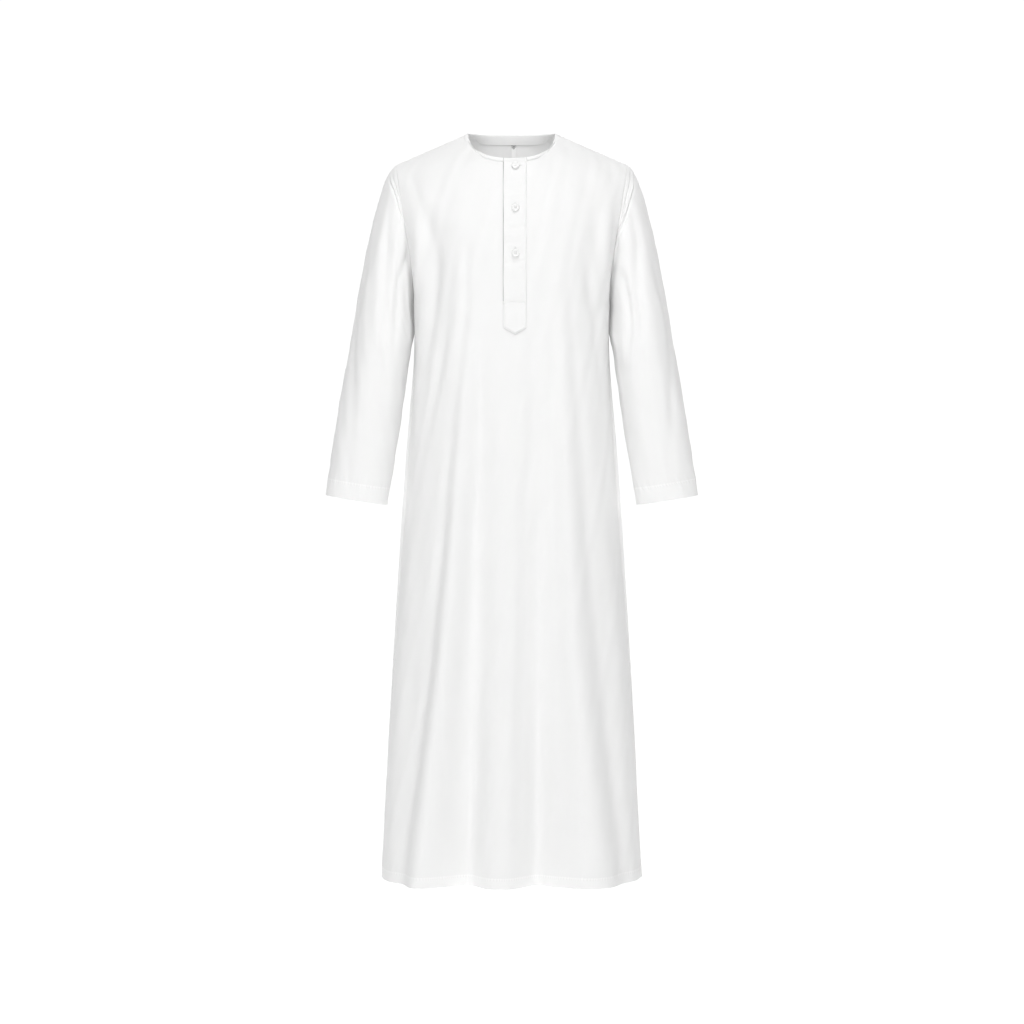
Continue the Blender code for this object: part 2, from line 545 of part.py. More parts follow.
class Robe:
    """Middle surfaces, normals and walls of the four large pieces, sewn together."""

    def __init__(self):
        self.front_across, self.back_across = front_columns(), back_columns()
        self.front = body_panel(FRONT, self.front_across)
        self.back = body_panel(BACK, self.back_across)
        self.underarm = len(self.front) - len(UPPER_SHARES)
        self.sleeves = {
            -1: sleeve_surface(-1, self.armhole(-1), RIGHT_SLEEVE_FOLDS),
            1: sleeve_surface(1, self.armhole(1), LEFT_SLEEVE_FOLDS),
        }
        self.normals = {"front": grid_normals(self.front), "back": grid_normals(self.back)}
        self.sleeve_normals = {
            side_x: grid_normals(grid, closed=True) for side_x, grid in self.sleeves.items()
        }
        self.match_seams()
        self.neck = self.neck_line()
        self.trim_neck()
        self.open_gaps()

    def armhole(self, side_x):
        """The armhole's points, from the shoulder down the front to the underarm and up the back."""
        front = self.front[:, 0 if side_x < 0 else -1]
        back = self.back[:, -1 if side_x < 0 else 0]
        return np.concatenate([front[self.underarm:][::-1], back[self.underarm + 1:-1]])

    def armhole_column(self, side_x, place):
        """Column of the sleeve's grid for a place in the armhole's list of points."""
        count = self.sleeves[side_x].shape[1]
        return place % count if side_x < 0 else (count - 1 - place) % count

    def match_seams(self):
        """Gives the pieces that meet on a seam the same normals there."""
        front, back = self.normals["front"], self.normals["back"]
        last = len(self.front) - 1
        for row in range(self.underarm):
            share_normals([(front, (row, 0)), (back, (row, -1))])
            share_normals([(front, (row, -1)), (back, (row, 0))])
        for place in range(1, SIDE_COLUMNS + 1):
            share_normals([(front, (last, place)), (back, (last, -1 - place))])
            share_normals([(front, (last, -1 - place)), (back, (last, place))])
        steps = len(UPPER_SHARES) - 1
        for side_x, front_column, back_column in ((-1, 0, -1), (1, -1, 0)):
            sleeve = self.sleeve_normals[side_x]
            loop = []
            for place in range(2 * steps):
                row = last - place if place <= steps else last - 2 * steps + place
                meeting = [(sleeve, (-1, self.armhole_column(side_x, place)))]
                if place <= steps:
                    meeting.append((front, (row, front_column)))
                if place in (0, steps) or place > steps:
                    meeting.append((back, (row, back_column)))
                share_normals(meeting)
                loop.append(meeting)
            self.calm_loop(loop)

    def calm_loop(self, loop):
        """Evens out the normals round an armhole, so that no edge strip twists."""
        shared = np.array([meeting[0][0][meeting[0][1]] for meeting in loop])
        for _ in range(CALMING_ROUNDS):
            shared = unit(np.roll(shared, 1, axis=0) + 2 * shared + np.roll(shared, -1, axis=0))
        for normal, meeting in zip(shared, loop):
            for normals, index in meeting:
                normals[index] = normal

    def neck_line(self):
        """Points and normals round the neck edge, from the wearer's right across the front to the left
        and round the back, and the directions down the cloth from there."""
        last = len(self.front_across) - SIDE_COLUMNS
        back = slice(SIDE_COLUMNS + 1, SIDE_COLUMNS + BACK_NECK_COLUMNS)
        points = np.concatenate([self.front[-1, SIDE_COLUMNS:last], self.back[-1, back]])
        normals = np.concatenate([
            self.normals["front"][-1, SIDE_COLUMNS:last], self.normals["back"][-1, back]
        ])
        along = np.roll(points, -1, axis=0) - np.roll(points, 1, axis=0)
        return points, normals, unit(np.cross(along, normals))

    def trim_neck(self):
        """Shortens the panels at the neck by the band's depth."""
        down = self.neck[2] * BAND_DEPTH
        front_count = len(self.front_across) - 2 * SIDE_COLUMNS
        self.front[-1, SIDE_COLUMNS:SIDE_COLUMNS + front_count] += down[:front_count]
        round_back = np.concatenate([down[front_count - 1:], down[:1]])
        self.back[-1, SIDE_COLUMNS:SIDE_COLUMNS + BACK_NECK_COLUMNS + 1] += round_back

    def open_gaps(self):
        """Draws each piece back from its seams."""
        for grid, normals in ((self.front, self.normals["front"]), (self.back, self.normals["back"])):
            moves = [draw_back(grid, normals, edge) for edge in ("first", "last", "top")]
            grid += sum(moves)
        for side_x, grid in self.sleeves.items():
            normals = self.sleeve_normals[side_x]
            around = np.roll(grid[-1], -1, axis=0) - np.roll(grid[-1], 1, axis=0)
            turns = np.arange(grid.shape[1]) / grid.shape[1]
            below = np.sin(math.pi * turns) ** 4
            drawn = (SEAM_GAP / 2 + UNDERARM_EASE * below)[:, None]
            grid[-1] -= np.cross(normals[-1], unit(around)) * drawn

    def layers(self, grid, normals, turned_up):
        """Outer and inner layer. The lowest turned_up rows have a second layer inside."""
        inner_depth = np.full(len(grid), HALF)
        inner_depth[:turned_up] += CLOTH
        return grid + normals * HALF, grid - normals * inner_depth[:, None, None]


def clear_scene():
    for item in list(bpy.data.objects):
        bpy.data.objects.remove(item, do_unlink=True)


def slit_cells(robe):
    """Cells of the front that are cloth: all but the slit behind the placket."""
    keep = np.ones((len(robe.front) - 1, len(robe.front_across) - 1), bool)
    slit = SIDE_COLUMNS + FRONT_NECK_COLUMNS + 1
    keep[robe.underarm:, slit] = False
    return keep


def build_cloth(robe):
    outer, inner = robe.layers(robe.front, robe.normals["front"], 2)
    add_solid("front", *wall(outer, inner, keep=slit_cells(robe)), CLOTH_FINISH)
    outer, inner = robe.layers(robe.back, robe.normals["back"], 2)
    add_solid("back", *wall(outer, inner), CLOTH_FINISH)
    for side_x, name in ((-1, "sleeve_right"), (1, "sleeve_left")):
        outer, inner = robe.layers(robe.sleeves[side_x], robe.sleeve_normals[side_x], 2)
        add_solid(name, *wall(outer, inner, closed=True), CLOTH_FINISH)


# ---------------------------------------------------------------- placket and buttons

def placket_columns():
    first = SIDE_COLUMNS + FRONT_NECK_COLUMNS
    return slice(first, first + 4)


def placket_grid(robe, lowest):
    """The front's points and normals behind the placket, raised at the top to the band's height."""
    points = robe.front[lowest:, placket_columns()].copy()
    normals = robe.normals["front"][lowest:, placket_columns()].copy()
    edge, _, down = robe.neck
    over = slice(FRONT_NECK_COLUMNS, FRONT_NECK_COLUMNS + 4)
    points[-1] = edge[over] - down[over] * BAND_TOP
    return points, normals


def build_placket(robe):
    """A strip down the front with a pointed end, over the slit."""
    points, normals = placket_grid(robe, robe.underarm - 2)
    points[0, 0] = (points[1, 0] + points[0, 1]) / 2
    points[0, -1] = (points[1, -1] + points[0, -2]) / 2
    back_face = points + normals * (HALF + LAY_GAP)
    front_face = back_face + normals * PLACKET_THICK
    add_solid("placket", *wall(front_face, back_face), CLOTH_FINISH)


def build_underlap(robe):
    """A straight strip behind the slit."""
    points, normals = placket_grid(robe, robe.underarm - 1)
    front_face = points - normals * (HALF + LAY_GAP)
    back_face = front_face - normals * UNDERLAP_THICK
    add_solid("placket_underlap", *wall(front_face, back_face), CLOTH_FINISH)


def button_seat(robe, height):
    """Matrix that places a button's back, with X across, Y up the cloth and Z out of it."""
    points, normals = placket_grid(robe, robe.underarm)
    face = points + normals * (HALF + LAY_GAP + PLACKET_THICK)

    def on_face(x, z):
        columns = [[np.interp(z, column[:, 2], column[:, axis]) for axis in range(3)]
                   for column in face.transpose(1, 0, 2)]
        columns = np.array(columns)
        return np.array([np.interp(x, columns[:, 0], columns[:, axis]) for axis in range(3)])

    reach = BUTTON_RADIUS
    middle = on_face(BUTTON_CENTRE, height)
    up = unit(on_face(BUTTON_CENTRE, height + reach) - on_face(BUTTON_CENTRE, height - reach))
    across = on_face(BUTTON_CENTRE + reach, height) - on_face(BUTTON_CENTRE - reach, height)
    across = unit(across - up * np.dot(across, up))
    out = np.cross(across, up)
    steps = np.linspace(-reach, reach, 9)
    highest = max(
        np.dot(on_face(BUTTON_CENTRE + dx, height + dz) - middle, out) for dx in steps for dz in steps
    )
    seat = np.eye(4)
    seat[:3] = np.stack([across, up, out, middle + out * (highest + SEAM_GAP)], axis=1)
    return Matrix(seat.tolist())


def turned(outline, sides, centre_x=0.0, centre_y=0.0):
    """Points and triangles of an outline of (radius, height) pairs turned about a Z axis."""
    angles = 2 * math.pi * np.arange(sides) / sides
    points = [
        (centre_x + radius * math.cos(angle), centre_y + radius * math.sin(angle), height)
        for radius, height in outline for angle in angles
    ]
    low, high = len(points), len(points) + 1
    points += [(centre_x, centre_y, outline[0][1]), (centre_x, centre_y, outline[-1][1])]
    last = (len(outline) - 1) * sides
    faces = []
    for place in range(sides):
        after = (place + 1) % sides
        faces += [(low, after, place), (high, last + place, last + after)]
        for ring in range(0, last, sides):
            a, b = ring + place, ring + after
            faces += [(a, b, b + sides), (a, b + sides, a + sides)]
    return points, faces


def build_button(name, seat):
    """A dished disc with four holes."""
    button = add_solid(name, *turned(BUTTON_OUTLINE, BUTTON_SIDES), BUTTON_FINISH)
    hole = ((BUTTON_HOLE_RADIUS, -BUTTON_THICK), (BUTTON_HOLE_RADIUS, 2 * BUTTON_THICK))
    points, faces = [], []
    for side_x, side_y in ((-1, -1), (1, -1), (1, 1), (-1, 1)):
        centre = side_x * BUTTON_HOLE_REACH, side_y * BUTTON_HOLE_REACH
        hole_points, hole_faces = turned(hole, BUTTON_HOLE_SIDES, *centre)
        faces += [tuple(corner + len(points) for corner in face) for face in hole_faces]
        points += hole_points
    cutter = add_solid(name + "_holes", points, faces, BUTTON_FINISH)
    cutter.hide_render = True
    cutter.display_type = "WIRE"
    button.matrix_world = cutter.matrix_world = seat
    cut = button.modifiers.new("holes", "BOOLEAN")
    cut.operation = "DIFFERENCE"
    cut.solver = "EXACT"
    cut.object = cutter


# ---------------------------------------------------------------- neck band and hanging loop

def below_edge(points, normals, depth):
    """Point and normal at a distance below the top of a column, which runs from the top down."""
    steps = np.linalg.norm(np.diff(points, axis=0), axis=1)
    along = np.concatenate([[0.0], np.cumsum(steps)])
    point = np.array([np.interp(depth, along, points[:, axis]) for axis in range(3)])
    normal = np.array([np.interp(depth, along, normals[:, axis]) for axis in range(3)])
    return point, unit(normal)


def band_profile():
    """Section of the band: depth below the neck edge, and distance outwards from its middle."""
    far = HALF + TAPE
    low, high = BAND_DEPTH - BAND_GAP, BAND_ROUNDING - BAND_TOP
    return (
        (low, -far), (low, far), (high, far),
        (-BAND_TOP, far - BAND_ROUNDING), (-BAND_TOP, BAND_ROUNDING - far), (high, -far),
    )


def build_band(robe):
    """A folded tape that binds the neck edge, from one edge of the placket round to the other."""
    points, normals, down = robe.neck
    placket = placket_columns()
    order = np.arange(placket.stop - 1, placket.start + len(points) + 1) - SIDE_COLUMNS
    points, normals, down = (values[order % len(points)].copy() for values in (points, normals, down))
    for end, inner in ((0, 1), (-1, -2)):
        points[end] += unit(points[inner] - points[end]) * BAND_END_GAP
    profile = band_profile()
    rings = np.stack([points + down * depth + normals * out for depth, out in profile], axis=1)
    count, sides = rings.shape[:2]
    faces = []
    for station in range(count - 1):
        for place in range(sides):
            after = (place + 1) % sides
            a, b = station * sides + place, station * sides + after
            faces += [(a, b + sides, b), (a, a + sides, b + sides)]
    cap = [(0, place, place + 1) for place in range(1, sides - 1)]
    last = (count - 1) * sides
    faces += cap + [(last + a, last + c, last + b) for a, b, c in cap]
    add_solid("neck_band", rings.reshape(-1, 3), faces, TAPE_FINISH)


def build_loop(robe):
    """A folded tape that hangs inside from the band's lower edge, its two ends together at the top."""
    centre = SIDE_COLUMNS + BACK_NECK_COLUMNS // 2
    points, normals = robe.back[::-1], robe.normals["back"][::-1]
    share = LOOP_CENTRE / abs(points[0, centre - 1, 0] - points[0, centre, 0])
    column = points[:, centre] + (points[:, centre - 1] - points[:, centre]) * share
    column_normals = normals[:, centre] + (normals[:, centre - 1] - normals[:, centre]) * share
    first = HALF + LAY_GAP + TAPE / 2
    path = []
    for along in np.linspace(0, 1, LOOP_ROWS):
        path.append((LOOP_TOP + LOOP_LENGTH * along, first))
    spacing = TAPE + LOOP_OPENING + LOOP_BULGE
    for angle in np.linspace(0, math.pi, LOOP_TURN_STEPS + 1)[1:-1]:
        depth = LOOP_TOP + LOOP_LENGTH + math.sin(angle) * spacing / 2
        path.append((depth, first + (1 - math.cos(angle)) * spacing / 2))
    for along in np.linspace(1, 0, LOOP_ROWS):
        open_by = LOOP_OPENING + LOOP_BULGE * math.sin(along * math.pi / 2)
        path.append((LOOP_TOP + LOOP_LENGTH * along, first + TAPE + open_by))
    path = np.array(path)
    sideways = unit(np.gradient(path, axis=0))[:, ::-1] * (1, -1)
    layers = []
    for offset in (TAPE / 2, -TAPE / 2):
        layer = []
        for depth, inward in path + sideways * offset:
            point, normal = below_edge(column, column_normals, depth)
            middle = point - normal * inward
            layer.append([middle + (side * LOOP_HALF_WIDTH, 0, 0) for side in (-1, 1)])
        layers.append(np.array(layer))
    add_solid("hanging_loop", *wall(*layers), TAPE_FINISH)


clear_scene()
robe = Robe()
build_cloth(robe)
build_placket(robe)
build_underlap(robe)
build_band(robe)
build_loop(robe)
for button_name, button_height in BUTTON_HEIGHTS:
    build_button(button_name, button_seat(robe, button_height))
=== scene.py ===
# %% [markdown]
# # A man's long white robe
#
# This lesson builds a thobe: a straight, ankle-long robe of smooth white cotton with a round
# collarless neck, a three-button placket and set-in sleeves. It is filled out as if someone wore
# it, and nobody does. The packed model gives the frame, so each piece below is made where its
# solid is, in metres, and then stands for that solid.

# %% Load the packed robe
import math
from collections import namedtuple

import bpy
import numpy as np
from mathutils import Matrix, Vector
from mathutils.bvhtree import BVHTree


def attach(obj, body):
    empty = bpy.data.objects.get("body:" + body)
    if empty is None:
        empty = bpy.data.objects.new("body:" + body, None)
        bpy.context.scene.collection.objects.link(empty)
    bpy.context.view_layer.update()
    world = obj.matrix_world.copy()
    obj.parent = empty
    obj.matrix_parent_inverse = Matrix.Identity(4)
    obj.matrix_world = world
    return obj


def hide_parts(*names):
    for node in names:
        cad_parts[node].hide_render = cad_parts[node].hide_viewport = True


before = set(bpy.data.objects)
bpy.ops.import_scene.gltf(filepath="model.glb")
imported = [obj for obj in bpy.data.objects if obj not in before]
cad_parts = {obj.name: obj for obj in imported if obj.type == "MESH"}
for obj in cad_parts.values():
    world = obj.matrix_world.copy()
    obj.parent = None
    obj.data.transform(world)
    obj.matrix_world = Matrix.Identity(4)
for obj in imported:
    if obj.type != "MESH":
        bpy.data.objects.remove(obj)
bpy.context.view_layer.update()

print("solids:", ", ".join(sorted(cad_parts)))

# %% [markdown]
# ## Curves from short tables
#
# A tailor works from a few measurements and a smooth curve through them. The same idea serves
# here: a table has a row for each height or place that was measured, and `read` gives the values
# in between. The curve through the rows is a cubic one, because straight lines between them would
# show as kinks in the cloth.

# %% Curves and tables
FRONT, BACK = -1, 1  # the sign of Y on each side of the shoulders
TURN = 2 * math.pi


def hermite(start, start_pull, end, end_pull, share):
    """Cubic curves from start to end, whose velocities at the ends are the pulls."""
    t = np.asarray(share, float)[..., None]
    return (
        (2 * t**3 - 3 * t**2 + 1) * start
        + (t**3 - 2 * t**2 + t) * start_pull
        + (3 * t**2 - 2 * t**3) * end
        + (t**3 - t**2) * end_pull
    )


def read(table, at):
    """The table's other columns at values of its first, on a smooth curve through its rows."""
    rows = np.array(sorted(table), float)
    keys, values = rows[:, 0], rows[:, 1:]
    at = np.clip(np.asarray(at, float), keys[0], keys[-1])
    slopes = np.gradient(values, keys, axis=0)
    low = np.clip(np.searchsorted(keys, at, side="right") - 1, 0, len(keys) - 2)
    span = keys[low + 1] - keys[low]
    scale = span[..., None]
    share = (at - keys[low]) / span
    return hermite(
        values[low], slopes[low] * scale, values[low + 1], slopes[low + 1] * scale, share
    )


print("a table of 0, 1 and 4 at 0, 1 and 2 reads", read(((0, 0), (1, 1), (2, 4)), 1.5)[0], "at 1.5")

# %% [markdown]
# Two shapes do most of the blending. A smooth step switches something on over a short way, as at
# the edge of a turn-up, and a bell is the section of a soft fold. The other helpers here measure
# along a line of points, since cloth is cut and sewn by its own lengths and not by straight
# distances.

# %% Blends and lengths
def smooth_step(value):
    value = np.clip(value, 0.0, 1.0)
    return value * value * (3 - 2 * value)


def bell(distance, width):
    """1 at a distance of 0, falling away smoothly over the width."""
    return np.exp(-((distance / width) ** 2))


def unit(vectors):
    return vectors / np.linalg.norm(vectors, axis=-1, keepdims=True)


def run_length(points):
    """Distance along a line of points, at each point."""
    steps = np.linalg.norm(np.diff(points, axis=0), axis=1)
    return np.concatenate([[0.0], np.cumsum(steps)])


def at_lengths(lengths, wanted, *values):
    """Each array of points or normals at the wanted distances along its line."""
    return [
        np.stack([np.interp(wanted, lengths, column) for column in value.T], axis=-1)
        for value in values
    ]


print("a bell at 0, 1 and 2 widths:", bell(np.arange(3.0), 1.0).round(3))

# %% [markdown]
# ## The body's outline
#
# Below the underarm the body is a smooth tube that widens to the hem. Level by level, the table
# says how far it reaches to the sides, to the front and to the back, and how square its outline
# is. A superellipse is used because one number takes it from an ellipse to a rounded box.

# %% Body outline
NECK_HALF_WIDTH = 0.083
NECK_SIDE_HEIGHT = 0.035
SHOULDER_HALF_WIDTH = 0.219
SHOULDER_END_HEIGHT = -0.024
UNDERARM_HEIGHT = -0.289
HEM_HEIGHT = -1.3725
NECK_SHARE = 0.40  # share of each half panel, from its centre, that ends at the neck
OUTLINE_SAMPLES = 500

Level = namedtuple("Level", "height half_width front back front_power back_power")
BODY_LEVELS = (
    Level(-0.289, 0.1855, 0.122, 0.110, 2.20, 2.30),
    Level(-0.374, 0.1832, 0.123, 0.106, 2.22, 2.30),
    Level(-0.564, 0.1934, 0.131, 0.104, 2.30, 2.25),
    Level(-0.735, 0.2050, 0.137, 0.121, 2.25, 2.25),
    Level(-0.944, 0.2204, 0.146, 0.132, 2.20, 2.20),
    Level(-1.115, 0.2335, 0.155, 0.140, 2.15, 2.15),
    Level(-1.3725, 0.2485, 0.166, 0.150, 2.10, 2.10),
)


def body_section(height, side, across):
    """Points of one body level. across runs from -1 at the -X side seam to 1 at the other."""
    half_width, front, back, front_power, back_power = read(BODY_LEVELS, height)
    reach, power = (front, front_power) if side == FRONT else (back, back_power)
    angle = np.linspace(0, math.pi / 2, OUTLINE_SAMPLES)
    x = half_width * np.cos(angle).clip(0) ** (2 / power)
    y = side * reach * np.sin(angle).clip(0) ** (2 / power)
    quarter = np.stack([x, y, np.full_like(x, height)], axis=-1)
    lengths = run_length(quarter)
    points = at_lengths(lengths, (1 - np.abs(across)) * lengths[-1], quarter)[0]
    points[:, 0] *= np.where(across < 0, -1, 1)
    return points


for level in BODY_LEVELS[::3]:
    girths = [run_length(body_section(level.height, side, np.linspace(-1, 1, 201)))[-1]
              for side in (FRONT, BACK)]
    print(f"at {level.height:.3f} m the front is {girths[0]:.3f} m wide, the back {girths[1]:.3f}")

# %% [markdown]
# ## Shoulder seams and neck edge
#
# Above the underarm each panel rises to the shoulder seams, leans in over the collar bones and
# ends at the neck edge. The seams are straight and the neck edge is a superellipse, so a few
# sizes say all of it. Between the two seams a ridge is imagined that goes on over the neck; it
# serves as a guide only.

# %% Neck edge and shoulder seams
NeckSide = namedtuple("NeckSide", "depth rise power")
NECK = {FRONT: NeckSide(0.078, -0.0532, 2.3), BACK: NeckSide(0.072, 0.0015, 2.2)}
RIDGE_HEIGHT = 0.052  # of the ridge on the centre line


def top_ridge(across):
    """Points along the shoulder seam, and along the ridge that would go on over the neck."""
    seam_end = np.array([SHOULDER_HALF_WIDTH, 0, SHOULDER_END_HEIGHT])
    neck_side = np.array([NECK_HALF_WIDTH, 0, NECK_SIDE_HEIGHT])
    slope = (NECK_SIDE_HEIGHT - SHOULDER_END_HEIGHT) / (SHOULDER_HALF_WIDTH - NECK_HALF_WIDTH)
    from_centre = np.abs(across)
    along_seam = ((from_centre - NECK_SHARE) / (1 - NECK_SHARE)).clip(0, 1)[:, None]
    points = neck_side + (seam_end - neck_side) * along_seam
    over_neck = 1 - (from_centre / NECK_SHARE).clip(0, 1)
    straight_rise = slope * NECK_HALF_WIDTH
    points[:, 0] -= NECK_HALF_WIDTH * over_neck
    points[:, 2] += straight_rise * over_neck
    points[:, 2] += (RIDGE_HEIGHT - NECK_SIDE_HEIGHT - straight_rise) * over_neck**2
    points[:, 0] *= np.where(across < 0, -1, 1)
    return points


def neck_edge(side, across):
    """Points of the neck edge above the places |across| < NECK_SHARE."""
    depth, rise, power = NECK[side]
    outward = (np.abs(across) / NECK_SHARE).clip(0, 1)
    x = np.sign(across) * NECK_HALF_WIDTH * outward ** (2 / power)
    inward = np.sqrt(1 - outward**2) ** (2 / power)
    return np.stack([x, side * depth * inward, NECK_SIDE_HEIGHT + rise * inward], axis=-1)


print("the neck opening is", 2 * NECK_HALF_WIDTH, "m wide and",
      round(NECK[FRONT].depth + NECK[BACK].depth, 3), "m deep")

# %% [markdown]
# ## Chest and shoulder blades
#
# Every column of points from the underarm to the top is one cubic curve. A table says how it sets
# off and how it arrives. Without a neck it would end on the ridge, so the top of each curve is
# drawn from the ridge to the neck edge. Further down, that drawing is averaged over a wider and
# wider strip, or the corner at the neck's side would run down the chest as a crease.

# %% From the underarm to the top
EVEN_STEP = 0.005
EVEN_WIDTH = 0.33  # of the averaged strip at the underarm, in half panels

# From the armhole (0) to the centre line (1): how the curves set off and arrive, each away from the
# centre, away from the shoulder plane, and up.
Lift = namedtuple("Lift", "from_side start_out start_away start_up end_out end_away end_up")
LIFTS = {
    FRONT: (
        Lift(0.00, -0.02, 0.10, 0.10, 0.02, -0.25, 0.15),
        Lift(0.12, 0.00, 0.12, 0.22, 0.03, -0.29, 0.13),
        Lift(0.30, 0.00, 0.02, 0.29, 0.03, -0.34, 0.13),
        Lift(0.60, 0.00, 0.00, 0.30, 0.00, -0.38, 0.22),
        Lift(1.00, 0.00, 0.02, 0.28, 0.00, -0.43, 0.49),
    ),
    BACK: (
        Lift(0.00, -0.02, 0.26, 0.10, 0.02, -0.23, 0.15),
        Lift(0.12, 0.00, 0.12, 0.22, 0.03, -0.28, 0.12),
        Lift(0.30, 0.00, 0.03, 0.29, 0.03, -0.32, 0.09),
        Lift(0.60, 0.00, 0.03, 0.31, 0.00, -0.32, 0.10),
        Lift(1.00, 0.00, 0.03, 0.33, 0.00, -0.33, 0.36),
    ),
}


def drawn_to_neck(side, across, share):
    """How far a row of the panel is drawn from the ridge towards the neck edge."""
    fine = np.arange(-1, 1 + EVEN_STEP / 2, EVEN_STEP) if share < 1 else across
    over_neck = (np.abs(fine) < NECK_SHARE)[:, None]
    draw = np.where(over_neck, neck_edge(side, fine) - top_ridge(fine), 0)
    if share < 1:
        width = EVEN_WIDTH * math.sqrt(1 - share)
        kernel = bell(np.arange(-2, 2 + EVEN_STEP / 2, EVEN_STEP), width * math.sqrt(2))
        kernel /= kernel.sum()
        middle = len(kernel) // 2
        evened = [np.convolve(column, kernel)[middle:middle + len(fine)] for column in draw.T]
        draw = np.stack([np.interp(across, fine, column) for column in evened], axis=-1)
    return draw * share**2 * (2 * share - 1)


def upper_panel(side, across, shares):
    """Rows from the underarm level (share 0) to the shoulder seams and the neck edge (share 1)."""
    lifts = read(LIFTS[side], 1 - np.abs(across))
    outward = np.where(across < 0, -1, 1)
    starts = np.stack([outward * lifts[:, 0], side * lifts[:, 1], lifts[:, 2]], axis=-1)
    ends = np.stack([outward * lifts[:, 3], side * lifts[:, 4], lifts[:, 5]], axis=-1)
    bottom, ridge = body_section(UNDERARM_HEIGHT, side, across), top_ridge(across)
    return np.array([
        hermite(bottom, starts, ridge, ends, np.full(len(across), share))
        + drawn_to_neck(side, across, share)
        for share in shares
    ])


centre_line = upper_panel(FRONT, np.zeros(1), np.linspace(0, 1, 50))[:, 0]
print(f"the front rises {run_length(centre_line)[-1]:.3f} m along its centre, underarm to neck")

# %% [markdown]
# ## A grid for each panel
#
# The cloth is drawn as a grid, because its columns and rows can follow the cloth's own threads.
# They lie closer together where something small happens: at the seams, round the neck, and at the
# hem with its folded-up edge and line of stitches. An even mesh as fine as that all over would be
# far too big.

# %% Grid lines of the body
HEM_TURN_UP = 0.020
SEAM_LINES = (0.0, 0.0012, 0.0026, 0.0045, 0.0068, 0.0082, 0.0096, 0.0115)  # from a seam
HEM_LINES = (0.0, 0.0006, 0.0016, 0.0035, 0.0065, 0.0095, 0.0125, 0.0150, 0.0168, 0.0178, 0.0186,
             0.0194, 0.0202, 0.0212, 0.0226, 0.0250, 0.0285, 0.0330, 0.0385)
ROW_STEP = 0.0078
UPPER_ROWS = 82
SIDE_COLUMNS = 46  # from a side seam to the neck's side
NECK_COLUMNS = 72
FIRST_PLAIN_COLUMN = 0.0145  # from a side seam
SEAM_ROWS_GAP = 0.012  # between the close rows at the top and the others, as a share
TYPICAL_HALF_PANEL = 0.26  # length of cloth from a side seam to the centre line
TYPICAL_RISE = 0.30  # length of cloth from the underarm level to the top

side_lines = np.concatenate([
    1 - np.array(SEAM_LINES) / TYPICAL_HALF_PANEL,
    np.linspace(1 - FIRST_PLAIN_COLUMN / TYPICAL_HALF_PANEL, NECK_SHARE, SIDE_COLUMNS),
])
neck_lines = NECK_SHARE * np.cos(np.linspace(0, math.pi, NECK_COLUMNS + 1))[1:-1]
ACROSS = np.concatenate([side_lines, neck_lines, -side_lines[::-1]])[::-1]
seam_shares = 1 - np.array(SEAM_LINES)[::-1] / TYPICAL_RISE
UPPER_SHARES = np.concatenate([
    np.linspace(0, seam_shares[0] - SEAM_ROWS_GAP, UPPER_ROWS), seam_shares,
])
hem_heights = HEM_HEIGHT + np.array(HEM_LINES)
lower_count = round((UNDERARM_HEIGHT - hem_heights[-1]) / ROW_STEP)
LOWER_HEIGHTS = np.concatenate([
    hem_heights, np.linspace(hem_heights[-1], UNDERARM_HEIGHT, lower_count + 1)[1:-1],
])
FIRST_UPPER = len(LOWER_HEIGHTS)
print(f"a body panel has {len(ACROSS)} columns and {FIRST_UPPER + len(UPPER_SHARES)} rows")
